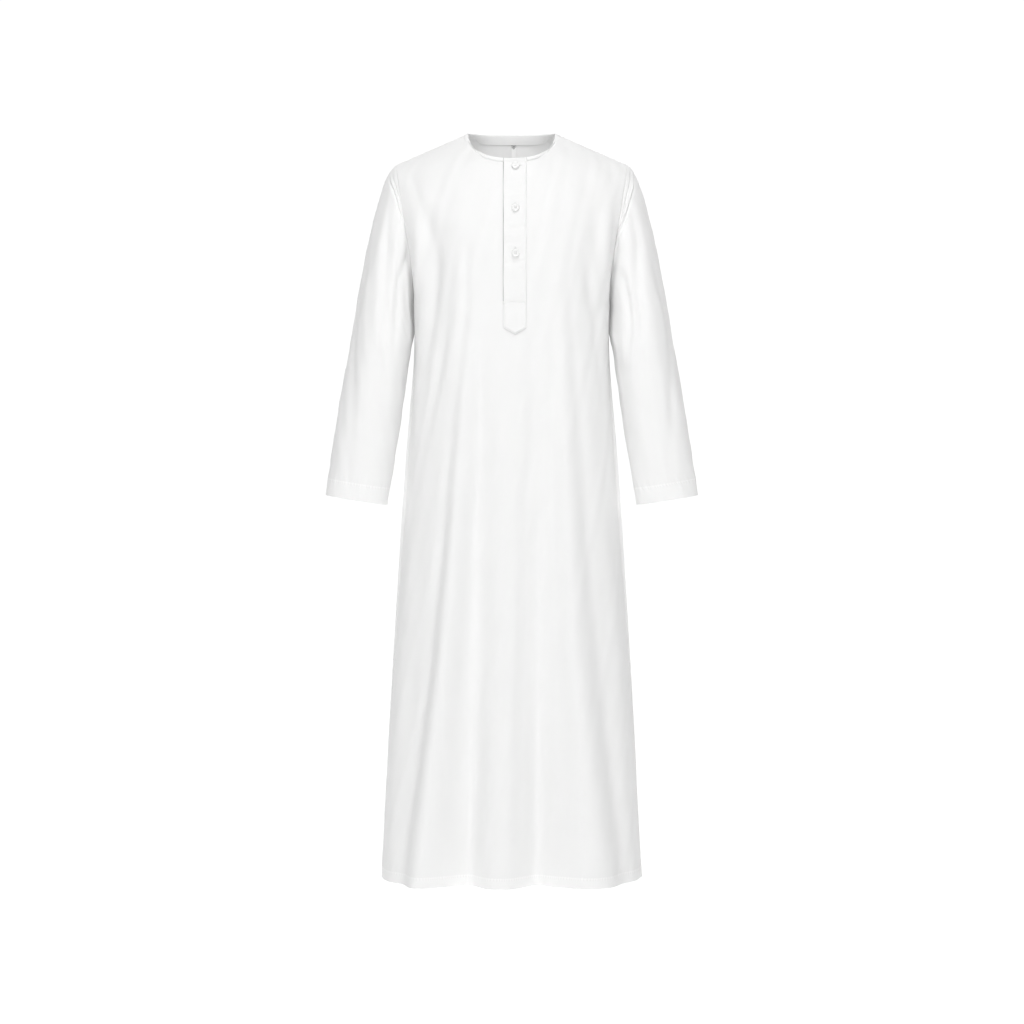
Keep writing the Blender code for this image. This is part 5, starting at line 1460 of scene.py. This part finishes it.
# %% Stitches of hem and cuffs
HEM_SEWN, CUFF_SEWN = 0.0186, 0.0306  # above the edge
stitching = []
for name, panel in panels.items():
    row = HEM_LINES.index(HEM_SEWN)
    line = stitch_lines(panel[row], grid_normals(panel)[row], *HEM_STITCH)
    stitching.append(threads(f"{name}_hem_stitches", *line))
for name, side_x in (("right", -1), ("left", 1)):
    grid = sleeves[side_x]
    row = CUFF_LINES.index(CUFF_SEWN)
    around = [np.concatenate([values[row], values[row, :1]])
              for values in (grid, grid_normals(grid, closed=True))]
    stitching.append(threads(f"{name}_cuff_stitches", *stitch_lines(*around, *HEM_STITCH)))
for piece in stitching:
    print(piece.name, len(piece.data.polygons) // FACES_A_STITCH)

# %% [markdown]
# Finer stitches hold the binding, one line outside and one on each layer inside, and run round
# the placket. The line along the placket starts below the neck, goes round the point, and crosses
# the strip where its free part ends.

# %% Stitches of the neck and placket
OUTER_LINE, UNDER_LINE, FACING_LINE = (0.0056, 0.0013), (0.0156, 0.0001), (0.0143, -0.0020)
PLACKET_LINE_TOP = -0.016
PLACKET_FACING = (0.0, -1.0, 0.15)  # roughly out of the placket's face
SAME_PLACE = 1e-6
TURNING_STEPS, CROSS_STEPS = 90, 30  # points between two corners of a line

neck_ups = NECK_NORMALS[band_places]
stitching.append(threads("neck_stitches", *joined([
    stitch_lines(band_line(*OUTER_LINE), neck_ups, *FINE_STITCH),
    stitch_lines(band_line(*UNDER_LINE), neck_ups, *FINE_STITCH),
    stitch_lines(band_line(*FACING_LINE), -neck_ups, *FINE_STITCH),
])))


def on_placket(s, z):
    """Point on the placket's face at a distance across and a height."""
    column = placket_face[:, int(np.argmin(np.abs(placket_s - s)))]
    return at_lengths(column[:, 2], z, column)[0]


def placket_line(ends, steps):
    """Points on the placket's face along straight lines between (across, height) ends."""
    points = []
    for (s0, z0), (s1, z1) in zip(ends, ends[1:]):
        points += [on_placket(s0 + (s1 - s0) * t, z0 + (z1 - z0) * t)
                   for t in np.linspace(0, 1, steps)]
    points = np.array(points)
    moved = np.linalg.norm(np.diff(points, axis=0), axis=1) > SAME_PLACE
    points = points[np.concatenate([[True], moved])]
    return points, np.tile(PLACKET_FACING, (len(points), 1))


inset = PLACKET_HALF_WIDTH - STITCH_INSET
tip_inset = PLACKET_TIP_HEIGHT + STITCH_INSET / tip_cosine
shoulder_inset = tip_inset + inset * tip_slant
round_placket = placket_line((
    (inset, PLACKET_LINE_TOP), (inset, shoulder_inset), (0.0, tip_inset),
    (-inset, shoulder_inset), (-inset, CROSS_STITCH_HEIGHT),
), TURNING_STEPS)
across_strip = placket_line(
    ((-inset, CROSS_STITCH_HEIGHT), (inset, CROSS_STITCH_HEIGHT)), CROSS_STEPS)
stitching.append(threads("placket_stitches", *joined([
    stitch_lines(points, unit(normals), *FINE_STITCH)
    for points, normals in (round_placket, across_strip)
])))
for piece in stitching[-2:]:
    print(piece.name, len(piece.data.polygons) // FACES_A_STITCH)

# %% [markdown]
# Each button is held by threads through its four holes. Each buttonhole is a slit edged with
# close stitches: the top one lies across, the other two run up and down, and their ends show
# beside the buttons.

# %% Button threads
BUTTON_THREAD_RADIUS = 0.00019
BUTTON_THREADS = (-0.00032, 0.0, 0.00032)  # side by side through each pair of holes
BUTTON_THREAD_PATH = (  # up, out
    (-HOLE_REACH, 0.0006), (-0.0012, 0.0016), (-0.0006, 0.0020), (0.0, 0.0021),
    (0.0006, 0.0020), (0.0012, 0.0016), (HOLE_REACH, 0.0006),
)


def bundle(lines, out, radius):
    """Lines with one up direction and one radius, as `threads` takes them."""
    lines = np.array(lines)
    return lines, np.tile(out, (len(lines), 1)), np.full(lines.shape[:2], radius)


def sewn_button(seat):
    """Threads through a button's holes."""
    base, *directions = seat
    lines = [
        np.array([(side_x * HOLE_REACH + offset, y, z) for y, z in BUTTON_THREAD_PATH])
        @ np.array(directions) + base
        for side_x in (-1, 1) for offset in BUTTON_THREADS
    ]
    return bundle(lines, directions[-1], BUTTON_THREAD_RADIUS)


button_lines = joined([sewn_button(seat) for seat in seats.values()])
stitching.append(threads("button_threads", *button_lines))
print(len(button_lines[0]), "threads through the buttons")

# %% [markdown]
# A buttonhole's stitches lie square to the slit along both sides, and a few closer ones bar its
# ends.

# %% Buttonholes
HOLE_HALF_LENGTH = 0.0088
HOLE_HALF_WIDTH = 0.0009
HOLE_PITCH = 0.00048
HOLE_THREAD_RADIUS = 0.00024
HOLE_SINK = 0.0001  # of the threads into the face
SLIT = 0.00012  # half its width
SIDE_PATH = ((SLIT, -0.0001), (SLIT + 0.0003, 0.0002), (HOLE_HALF_WIDTH - 0.0003, 0.0002),
             (HOLE_HALF_WIDTH, -0.0001))               # away from the slit, out
END_REACH = 0.0006
END_PATH = ((-1, -0.0001), (-0.4, 0.0003), (0.6, 0.0003), (1.2, -0.0001))  # along, out
HOLE_SHIFTS = {"top": 0.0014, "middle": 0.0012, "bottom": 0.0012}  # from the button's centre


def buttonhole(name):
    """Close stitches round a slit in the placket, under a button."""
    base, across, up, out = seats[name]
    along, side = (across, up) if name == "top" else (up, across)
    centre = base + along * HOLE_SHIFTS[name]
    lines = []
    for t in np.arange(-HOLE_HALF_LENGTH, HOLE_HALF_LENGTH, HOLE_PITCH):
        for sign in (1.0, -1.0):
            lines.append([centre + along * t + side * sign * w - out * HOLE_SINK + out * h
                          for w, h in SIDE_PATH])
    for t in (-HOLE_HALF_LENGTH, HOLE_HALF_LENGTH):
        end = math.copysign(END_REACH, t)
        for w in np.arange(-HOLE_HALF_WIDTH, HOLE_HALF_WIDTH + SAME_PLACE, HOLE_PITCH):
            lines.append([centre + along * (t + end * u) + side * w + out * (h - HOLE_SINK)
                          for u, h in END_PATH])
    return bundle(lines, out, HOLE_THREAD_RADIUS)


hole_lines = joined([buttonhole(name) for name in seats])
stitching.append(threads("buttonhole_stitches", *hole_lines))
print(len(hole_lines[0]), "stitches round the buttonholes")

# %% [markdown]
# ## Hanging loop
#
# Inside the centre back a folded tape hangs from below the facing, so the robe can go on a hook.
# A curve with a flat bevel would twist on the leaning back of the neck, so the tape is a grid
# again: a path down along the cloth, round the fold, and up again a little further in.

# %% Hanging loop
LOOP_CENTRE = 0.0037
LOOP_HALF_WIDTH = 0.0045
LOOP_TOP = 0.0186  # below the neck edge
LOOP_LENGTH = 0.050
LOOP_THICK = 0.0009
LOOP_NEAR = 0.0010  # from the cloth to the middle of the tape
LOOP_SPACING = 0.0034  # between the two layers at the fold
LOOP_TIGHT = 0.0010  # between the two layers at the top
LOOP_STEPS, LOOP_FOLD_STEPS, LOOP_COLUMNS = 26, 9, 9
EDGE_THINNING, EDGE_POWER = 0.55, 8
BACK_SAMPLES = 40
BACK_FALL = 0.96  # how steeply the back of the neck falls along the cloth
neck_back = np.array([LOOP_CENTRE, NECK[BACK].depth, 0.036])
loop_place = int(np.argmin(np.linalg.norm(NECK_POINTS - neck_back, axis=1)))
back_down = np.array([
    cloth.ahead(LOOP_CENTRE, NECK_POINTS[loop_place][2] - depth * BACK_FALL - 0.0004, BACK)
    for depth in np.linspace(0, LOOP_TOP + LOOP_LENGTH + 0.004, BACK_SAMPLES)
])
back_lengths = run_length(back_down)
sideways = np.array([1.0, 0, 0])
back_inward = unit(np.cross(np.gradient(back_down, axis=0), sideways))


def loop_point(depth, inward):
    """A point so far down the back of the neck, and so far inside the cloth."""
    place, direction = at_lengths(back_lengths, depth, back_down, back_inward)
    return place + unit(direction) * (CLOTH + inward)


loop_end = LOOP_TOP + LOOP_LENGTH
shares = np.linspace(0, 1, LOOP_STEPS)
path = [(LOOP_TOP + LOOP_LENGTH * t, LOOP_NEAR) for t in shares]
path += [(loop_end + math.sin(angle) * LOOP_SPACING / 2,
          LOOP_NEAR + (1 - math.cos(angle)) * LOOP_SPACING / 2)
         for angle in np.linspace(0, math.pi, LOOP_FOLD_STEPS)[1:-1]]
path += [(LOOP_TOP + LOOP_LENGTH * t,
          LOOP_NEAR + LOOP_TIGHT + (LOOP_SPACING - LOOP_TIGHT) * math.sin(t * math.pi / 2))
         for t in np.linspace(1, 0, LOOP_STEPS)]
loop_middle = np.array([loop_point(depth, inward) for depth, inward in path])
loop_columns = np.linspace(-LOOP_HALF_WIDTH, LOOP_HALF_WIDTH, LOOP_COLUMNS)
edge_thin = 1 - EDGE_THINNING * (np.abs(loop_columns) / LOOP_HALF_WIDTH) ** EDGE_POWER
loop_grid = loop_middle[:, None] + loop_columns[:, None] * sideways
loop_normals = unit(np.cross(np.gradient(loop_middle, axis=0), sideways))[:, None]
half_thick = loop_normals * (LOOP_THICK / 2 * edge_thin)[:, None]
loop = flat_shell("loop_tape", loop_grid - half_thick, loop_grid + half_thick)
print("the loop hangs from", loop_middle[0].round(4), "to", loop_middle[LOOP_STEPS + 3].round(4))

# %% [markdown]
# A short block of stitches, a bar tack, holds the loop's ends. Its thread is painted dark grey,
# a painted shadow for the deep fold that it sits in. Its rows lie close together and differ in
# width, because a tack is sewn back and forth.

# %% Bar tack
TACK_WIDTHS = (1.0, 1.0, 0.45, 0.40, 0.95, 0.85, 0.65, 0.45, 0.30)  # row by row
TACK_ROW = ((-0.0046, -0.0006), (-0.0030, 0.0), (0.0, 0.0001), (0.0030, 0.0), (0.0046, -0.0006))
TACK_ABOVE, TACK_STEP, TACK_OUT = 0.0008, 0.00085, 0.0018
TACK_RADIUS = 0.00030
tack = [
    [loop_point(LOOP_TOP - TACK_ABOVE + step * TACK_STEP, LOOP_NEAR + TACK_OUT + lift)
     + np.array([x * wide, 0, 0]) for x, lift in TACK_ROW]
    for step, wide in enumerate(TACK_WIDTHS)
]
stitching.append(threads("loop_tack", *bundle(tack, back_inward[BACK_SAMPLES // 4], TACK_RADIUS)))
print(len(tack), "rows in the tack")

# %% [markdown]
# ## Shader maths as expressions
#
# A material is a small program made of nodes. To keep it readable, a thin class wraps each
# socket, so that adding or multiplying two of them adds the Math node that does it. Every other
# node goes through one method, which takes its kind, its settings and what goes into its sockets.

# %% Wires
MIXED_COLOUR = 2  # the Mix node's output for colours
OBJECT_PLACE = 3  # the Texture Coordinate node's output for places on the object


class Wire:
    """An output socket that takes part in sums. A colour or vector goes through Vector Math."""

    def __init__(self, socket):
        self.socket = socket

    def _maths(self, operation, first, second=None):
        wide = any(isinstance(value, Wire) and value.socket.type in ("VECTOR", "RGBA")
                   for value in (first, second))
        tree = self.socket.id_data
        node = tree.nodes.new("ShaderNodeVectorMath" if wide else "ShaderNodeMath")
        node.operation = operation
        for socket, value in zip(node.inputs, (first, second)):
            if wide and isinstance(value, float):
                value = (value,) * 3
            if value is not None:
                plug(socket, value)
        return Wire(node.outputs[0])

    def __add__(self, other): return self._maths("ADD", self, other)
    def __radd__(self, other): return self._maths("ADD", other, self)
    def __sub__(self, other): return self._maths("SUBTRACT", self, other)
    def __rsub__(self, other): return self._maths("SUBTRACT", other, self)
    def __mul__(self, other): return self._maths("MULTIPLY", self, other)
    def __rmul__(self, other): return self._maths("MULTIPLY", other, self)
    def sine(self): return self._maths("SINE", self)
    def size(self): return self._maths("ABSOLUTE", self)


def plug(socket, value):
    """Links a wire to a socket, or sets the socket to a value."""
    if isinstance(value, Wire):
        socket.id_data.links.new(value.socket, socket)
    else:
        socket.default_value = value


class Look:
    """The nodes of a material or a world, with the shader that they end in."""

    def __init__(self, owner, shader="Principled BSDF"):
        owner.use_nodes = True
        self.owner, self.tree = owner, owner.node_tree
        self.shader = self.tree.nodes[shader]

    def fill(self, node, inputs):
        """Sets a node's sockets, each found by its name or its identifier."""
        for name, value in inputs.items():
            plug(next(socket for socket in node.inputs
                      if name in (socket.name.replace(" ", "_"), socket.identifier)), value)

    def set(self, **inputs):
        self.fill(self.shader, inputs)

    def node(self, kind, settings=(), output=0, **inputs):
        """Adds a node, sets its settings, then its sockets to values or wires."""
        node = self.tree.nodes.new(kind)
        for name, value in dict(settings).items():
            setattr(node, name, value)
        self.fill(node, inputs)
        return Wire(node.outputs[output])

    def mixed(self, first, second, factor):
        """A colour between two colours."""
        return self.node("ShaderNodeMix", {"data_type": "RGBA"}, MIXED_COLOUR, Factor=factor,
                         A_Color=(*first, 1), B_Color=(*second, 1))

    def parts(self, vector):
        """The X, Y and Z of a vector."""
        node = self.node("ShaderNodeSeparateXYZ", Vector=vector).socket.node
        return [Wire(output) for output in node.outputs]

    def ramp(self, value, reach, ends, kind="SMOOTHSTEP"):
        """Goes from one end to the other while the value passes through its reach."""
        return self.node("ShaderNodeMapRange", {"interpolation_type": kind}, Value=value,
                         From_Min=reach[0], From_Max=reach[1], To_Min=ends[0], To_Max=ends[1])


print("sums of wires:", [name for name in vars(Wire) if name.strip("_") in ("add", "sub", "mul")])

# %% [markdown]
# ## White cotton
#
# The robe is fine white cotton with a soft matt face. Up close a plain weave shows: warp threads
# along the cloth and weft threads across it, each passing over and under. Its height comes from
# two waves on the cloth's own distances. Slightly thicker threads and a faint unevenness of white
# keep it from looking like plastic, and a little sheen lifts the edges as short fibres do.
#
# Three things are added where the cloth is worked. The placket's edges are darkened by a painted
# shade. Along a hem or a cuff the turned-up part, being two layers thick, is slightly paler, a
# painted highlight runs along its sewn line, and the thread draws the cloth beside it into small
# gathers, bumped and also given painted light and shade. The sleeves take their painted shade
# beside the body from their own UV map.

# %% Cotton
THREAD_PITCH = 0.00050
WEAVE_DEPTH = 0.00005
SLUB_SCALE = (900.0, 60.0, 0.0)  # thicker threads, longer than wide
# Painted shade along the placket's outline, darker along its free edge, standing for the shadow
# there.
PAINTED_EDGE_SHADE = ((0.0011, 0.80), (0.0019, 0.52))  # outline, free edge: reach, white left
EDGE_SHADE_START = 0.0002
GATHERS = 190.0  # small gathers beside a hem's stitches, per metre
GATHER_DRIFT, GATHER_SWING = 23.0, 1.7  # their unevenness, per metre, in radians
# The gathers are a bump; their light and shade are also painted into the colour.
GATHER_DEPTH, GATHER_PAINTED_LIGHT = 0.00020, 0.030
GATHER_PLACE, GATHER_REACH = 0.0028, (0.0010, 0.0042)  # below the edge of the turn-up, from there
# A painted highlight along the sewn line of hems and cuffs, standing for the light on the ridge
# there.
SEWN_PLACE, SEWN_REACH, SEWN_PAINTED_HIGHLIGHT = 0.0012, (0.0008, 0.0020), 0.04
TURNED_REACH, TURNED_TINT = (0.0012, 0.0002), 1.022


def cotton(name, light=(0.885, 0.885, 0.88), dark=(0.855, 0.856, 0.855),
           painted_edge_shade=False, shaded=False, hem=0.0):
    look = Look(bpy.data.materials.new(name))
    place = look.node("ShaderNodeUVMap", {"uv_map": "cloth_metres"})
    across, up, _ = look.parts(place)
    slub = look.node("ShaderNodeTexNoise", {"noise_dimensions": "2D"},
                     Vector=place * SLUB_SCALE, Scale=1.0, Detail=1.0)
    warp = (across * (math.pi / THREAD_PITCH)).sine()
    weft = (up * (math.pi / THREAD_PITCH)).sine()
    weave = warp * weft * 0.5 + warp.size() * 0.25 + weft.size() * 0.25 + slub * 0.35
    cloudy = look.node("ShaderNodeTexNoise", {"noise_dimensions": "3D"},
                       Vector=place * 1.0, Scale=22.0, Detail=3.0, Roughness=0.55)
    fine = look.node("ShaderNodeTexNoise", {"noise_dimensions": "2D"},
                     Vector=place * 1.0, Scale=420.0, Detail=2.0)
    white = look.mixed(dark, light, cloudy * 0.5 + weave * 0.12 + fine * 0.45)
    # Painted shade along the placket's outline and free edge.
    if painted_edge_shade:
        edges = look.parts(look.node("ShaderNodeUVMap", {"uv_map": "edge_metres"}))
        for distance, (reach, grey) in zip(edges, PAINTED_EDGE_SHADE):
            white = white * look.ramp(distance, (EDGE_SHADE_START, reach), (grey, 1.0))
    bent = {}
    if hem:
        turned_edge = [hem - inset for inset in TURNED_REACH]
        white = white * look.ramp(up, turned_edge, (TURNED_TINT, 1.0), "LINEAR")
        beside = look.ramp((up - hem + GATHER_PLACE).size(), GATHER_REACH, (1.0, 0.0))
        drift = (across * (TURN * GATHER_DRIFT)).sine() * GATHER_SWING
        gathers = (across * (TURN * GATHERS) + drift).sine()
        # Painted highlight along the sewn line.
        sewn = look.ramp((up - hem + SEWN_PLACE).size(), SEWN_REACH, (SEWN_PAINTED_HIGHLIGHT, 0.0))
        # The gathers' light and shade are painted into the colour, as well as bumped.
        white = white * (1.0 + sewn + gathers * beside * GATHER_PAINTED_LIGHT)
        bent["Normal"] = look.node(
            "ShaderNodeBump", Strength=1.0, Distance=GATHER_DEPTH, Height=gathers * beside)
    # Painted shade beside the body and among the cap's creases, read from the lost_light UV map.
    if shaded:
        lost, *_ = look.parts(look.node("ShaderNodeUVMap", {"uv_map": "lost_light"}))
        white = white * (1.0 - lost)
    look.set(
        Base_Color=white, Roughness=cloudy * 0.08 + 0.78,
        Normal=look.node("ShaderNodeBump", Strength=0.55, Distance=WEAVE_DEPTH,
                         Height=weave + fine * 0.5, **bent),
        Sheen_Weight=0.12, Sheen_Roughness=0.45, Specular_IOR_Level=0.30,
    )
    print(name, "has", len(look.tree.nodes), "nodes")
    return look.owner


white_cotton = cotton("white_cotton")
body_cotton = cotton("body_cotton", hem=HEM_TURN_UP)
placket_cotton = cotton("placket_cotton", painted_edge_shade=True)
sleeve_cotton = cotton("sleeve_cotton", shaded=True, hem=CUFF_TURN_UP)
# The binding's cotton is a lighter white than the body's, the same cloth: a painted highlight for
# its rolled edge. The loop tape uses it too.
binding_cotton = cotton("binding_cotton", (0.925, 0.925, 0.92), (0.895, 0.896, 0.895))

# %% [markdown]
# Thread is the same white and a little shinier than the cloth. Each thread is twisted, which
# shows as fine slanted ridges. The buttons are moulded plastic, faintly clouded like pearl, with
# fine scratches.

# %% Thread and buttons
TWIST = 0.0006  # from ridge to ridge
SCRATCH_SCALE = (900.0, 900.0, 4000.0)


def twisted_thread(name, dark, light):
    look = Look(bpy.data.materials.new(name))
    x, y, z = look.parts(look.node("ShaderNodeTexCoord", output=OBJECT_PLACE))
    ply = ((x + z + y) * (TURN / TWIST)).sine()
    look.set(
        Base_Color=look.mixed(dark, light, ply * 0.5 + 0.5),
        Roughness=0.55, Sheen_Weight=0.15, Specular_IOR_Level=0.4,
        Normal=look.node("ShaderNodeBump", Strength=0.4, Distance=0.00006, Height=ply),
    )
    return look.owner


def pearly_button(name):
    look = Look(bpy.data.materials.new(name))
    place = look.node("ShaderNodeTexCoord", output=OBJECT_PLACE)
    cloud = look.node("ShaderNodeTexNoise", Vector=place, Scale=260.0, Detail=3.0, Distortion=1.2)
    scratches = look.node("ShaderNodeTexNoise", Vector=place * SCRATCH_SCALE, Scale=1.0, Detail=1.0)
    look.set(
        Base_Color=look.mixed((0.83, 0.83, 0.825), (0.90, 0.90, 0.895), cloud),
        Roughness=cloud * 0.12 + 0.38, Coat_Weight=0.12, Coat_Roughness=0.25,
        Normal=look.node("ShaderNodeBump", Strength=0.08, Distance=0.00003, Height=scratches),
    )
    return look.owner


white_thread = twisted_thread("white_thread", (0.86, 0.86, 0.855), (0.92, 0.92, 0.915))
# The bar tack's thread is painted dark grey: a painted shadow, since the thread itself is white.
grey_thread = twisted_thread("grey_thread", (0.22, 0.22, 0.225), (0.36, 0.36, 0.365))
button_white = pearly_button("button_white")
print("made", white_thread.name, grey_thread.name, "and", button_white.name)

# %% [markdown]
# ## Handing the pieces over
#
# Each piece takes its material and its place in the frame, and the solid that it stands for is
# hidden. The robe has no joints, so everything rides on the one body.

# %% Materials, frame and solids
def hand_over(piece, material, slot, *nodes):
    piece.data.materials.clear()
    piece.data.materials.append(material)
    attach(piece, "root")
    if nodes:
        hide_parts(*nodes)


hand_over(front, body_cotton, "robe_cloth", "front")
hand_over(back, body_cotton, "robe_cloth", "back")
hand_over(sleeve_right, sleeve_cotton, "robe_cloth", "sleeve_right")
hand_over(sleeve_left, sleeve_cotton, "robe_cloth", "sleeve_left")
hand_over(placket, placket_cotton, "robe_cloth", "placket")
hand_over(underlap, white_cotton, "robe_cloth", "placket_underlap")
hand_over(binding, binding_cotton, "binding_tape", "neck_band")
hand_over(loop, binding_cotton, "binding_tape", "hanging_loop")
for name, button in buttons.items():
    hand_over(button, button_white, "button_white", f"button_{name}")
for piece in stitching:
    hand_over(piece, grey_thread if piece.name == "loop_tack" else white_thread, "robe_cloth")
print("handed over", 8 + len(buttons) + len(stitching), "pieces")

# %% [markdown]
# ## Flat sizes
#
# A robe is sewn from flat cloth, and the size of each flat piece can't be seen once it is folded
# and curved. So the area of one face of each large piece is printed here, the area of cloth that
# it takes.

# %% Areas of cloth
for piece in (front, back, sleeve_right, sleeve_left, placket, underlap, binding, loop):
    one_face = sum(face.area for face in piece.data.polygons) / 2
    print(piece.name, round(one_face, 4), "m2 of cloth")

# %% [markdown]
# ## Floor, light and camera
#
# The robe hangs in a white studio. A pale floor lies well below it, and the wall behind is lit
# until it is pure white. One large lamp shines from the front and a little from the left, a
# second one from above gives the shoulders their light, and a very weak lamp inside the robe
# stands for the light that real cotton lets through, so that the inside of the neck isn't black.
# A wall of mesh would cast its own shadows, so the wall is part of the world's light, which grows
# towards the back.

# %% Studio
FLOOR_HEIGHT = -1.90
FLOOR_RADIUS = 9.0
FLOOR_SIDES = 128
FLOOR_GLOW = 0.68
WALL_LIGHT = 1.05  # of the white wall behind
ROOM_LIGHT = 0.20  # of the rest of the studio
WALL_REACH = (0.2, 0.9)  # where the wall's light grows, 1 being straight back
KEY_POWER = 98.0
TOP_POWER = 88.0
INSIDE_POWER = 0.30


def studio_floor():
    angles = TURN * np.arange(FLOOR_SIDES) / FLOOR_SIDES
    rim = [(FLOOR_RADIUS * math.cos(a), FLOOR_RADIUS * math.sin(a), FLOOR_HEIGHT) for a in angles]
    floor = to_mesh("studio_floor", rim, [range(FLOOR_SIDES)])
    look = Look(bpy.data.materials.new("studio_floor_paint"))
    look.set(Base_Color=(0.93, 0.93, 0.93, 1), Roughness=0.9,
             Emission_Color=(1, 1, 1, 1), Emission_Strength=FLOOR_GLOW)
    floor.data.materials.append(look.owner)


def aimed(name, data, place, target):
    """A lamp or camera at a place, turned towards a target."""
    thing = add_object(name, data)
    thing.location = place
    thing.rotation_euler = (Vector(target) - Vector(place)).to_track_quat("-Z", "Y").to_euler()
    return thing


def area_light(name, place, target, size, power):
    lamp = bpy.data.lights.new(name, "AREA")
    lamp.shape, lamp.size, lamp.energy = "DISK", size, power
    aimed(name, lamp, place, target)


studio_floor()
world = bpy.context.scene.world = bpy.data.worlds.new("studio")
sky = Look(world, "Background")
_, backwards, _ = sky.parts(sky.node("ShaderNodeTexCoord"))
sky.set(Color=(1, 1, 1, 1),
        Strength=sky.ramp(backwards, WALL_REACH, (ROOM_LIGHT, WALL_LIGHT)))
area_light("key", (-0.8, -6.0, 2.2), (0, 0, -0.5), 2.4, KEY_POWER)
area_light("top", (0.2, -1.8, 3.2), (0, 0, -0.3), 2.0, TOP_POWER)
inside_lamp = bpy.data.lights.new("inside_the_robe", "POINT")
inside_lamp.energy, inside_lamp.shadow_soft_size = INSIDE_POWER, 0.07
aimed("inside_the_robe", inside_lamp, (0, -0.02, -0.20), (0, 0, 0))
print("lamps:", [lamp.name for lamp in bpy.data.lights])

# %% [markdown]
# The camera stands 5.2 m in front of the robe at the height of its waist and looks slightly down.
# From so far away a long garment keeps its straight sides, which a near camera would bend.

# %% Camera
CAMERA_PLACE = (0.0006, -5.2, -0.418)
CAMERA_AIM = (0.0006, 0.0, -0.680)
camera_data = bpy.data.cameras.new("camera")
camera_data.sensor_width, camera_data.lens = 36.0, 96.33
camera = bpy.context.scene.camera = aimed("camera", camera_data, CAMERA_PLACE, CAMERA_AIM)
bpy.context.scene.view_settings.view_transform = "Standard"
print(f"the camera sees {math.degrees(camera_data.angle):.1f} degrees")

# %% [markdown]
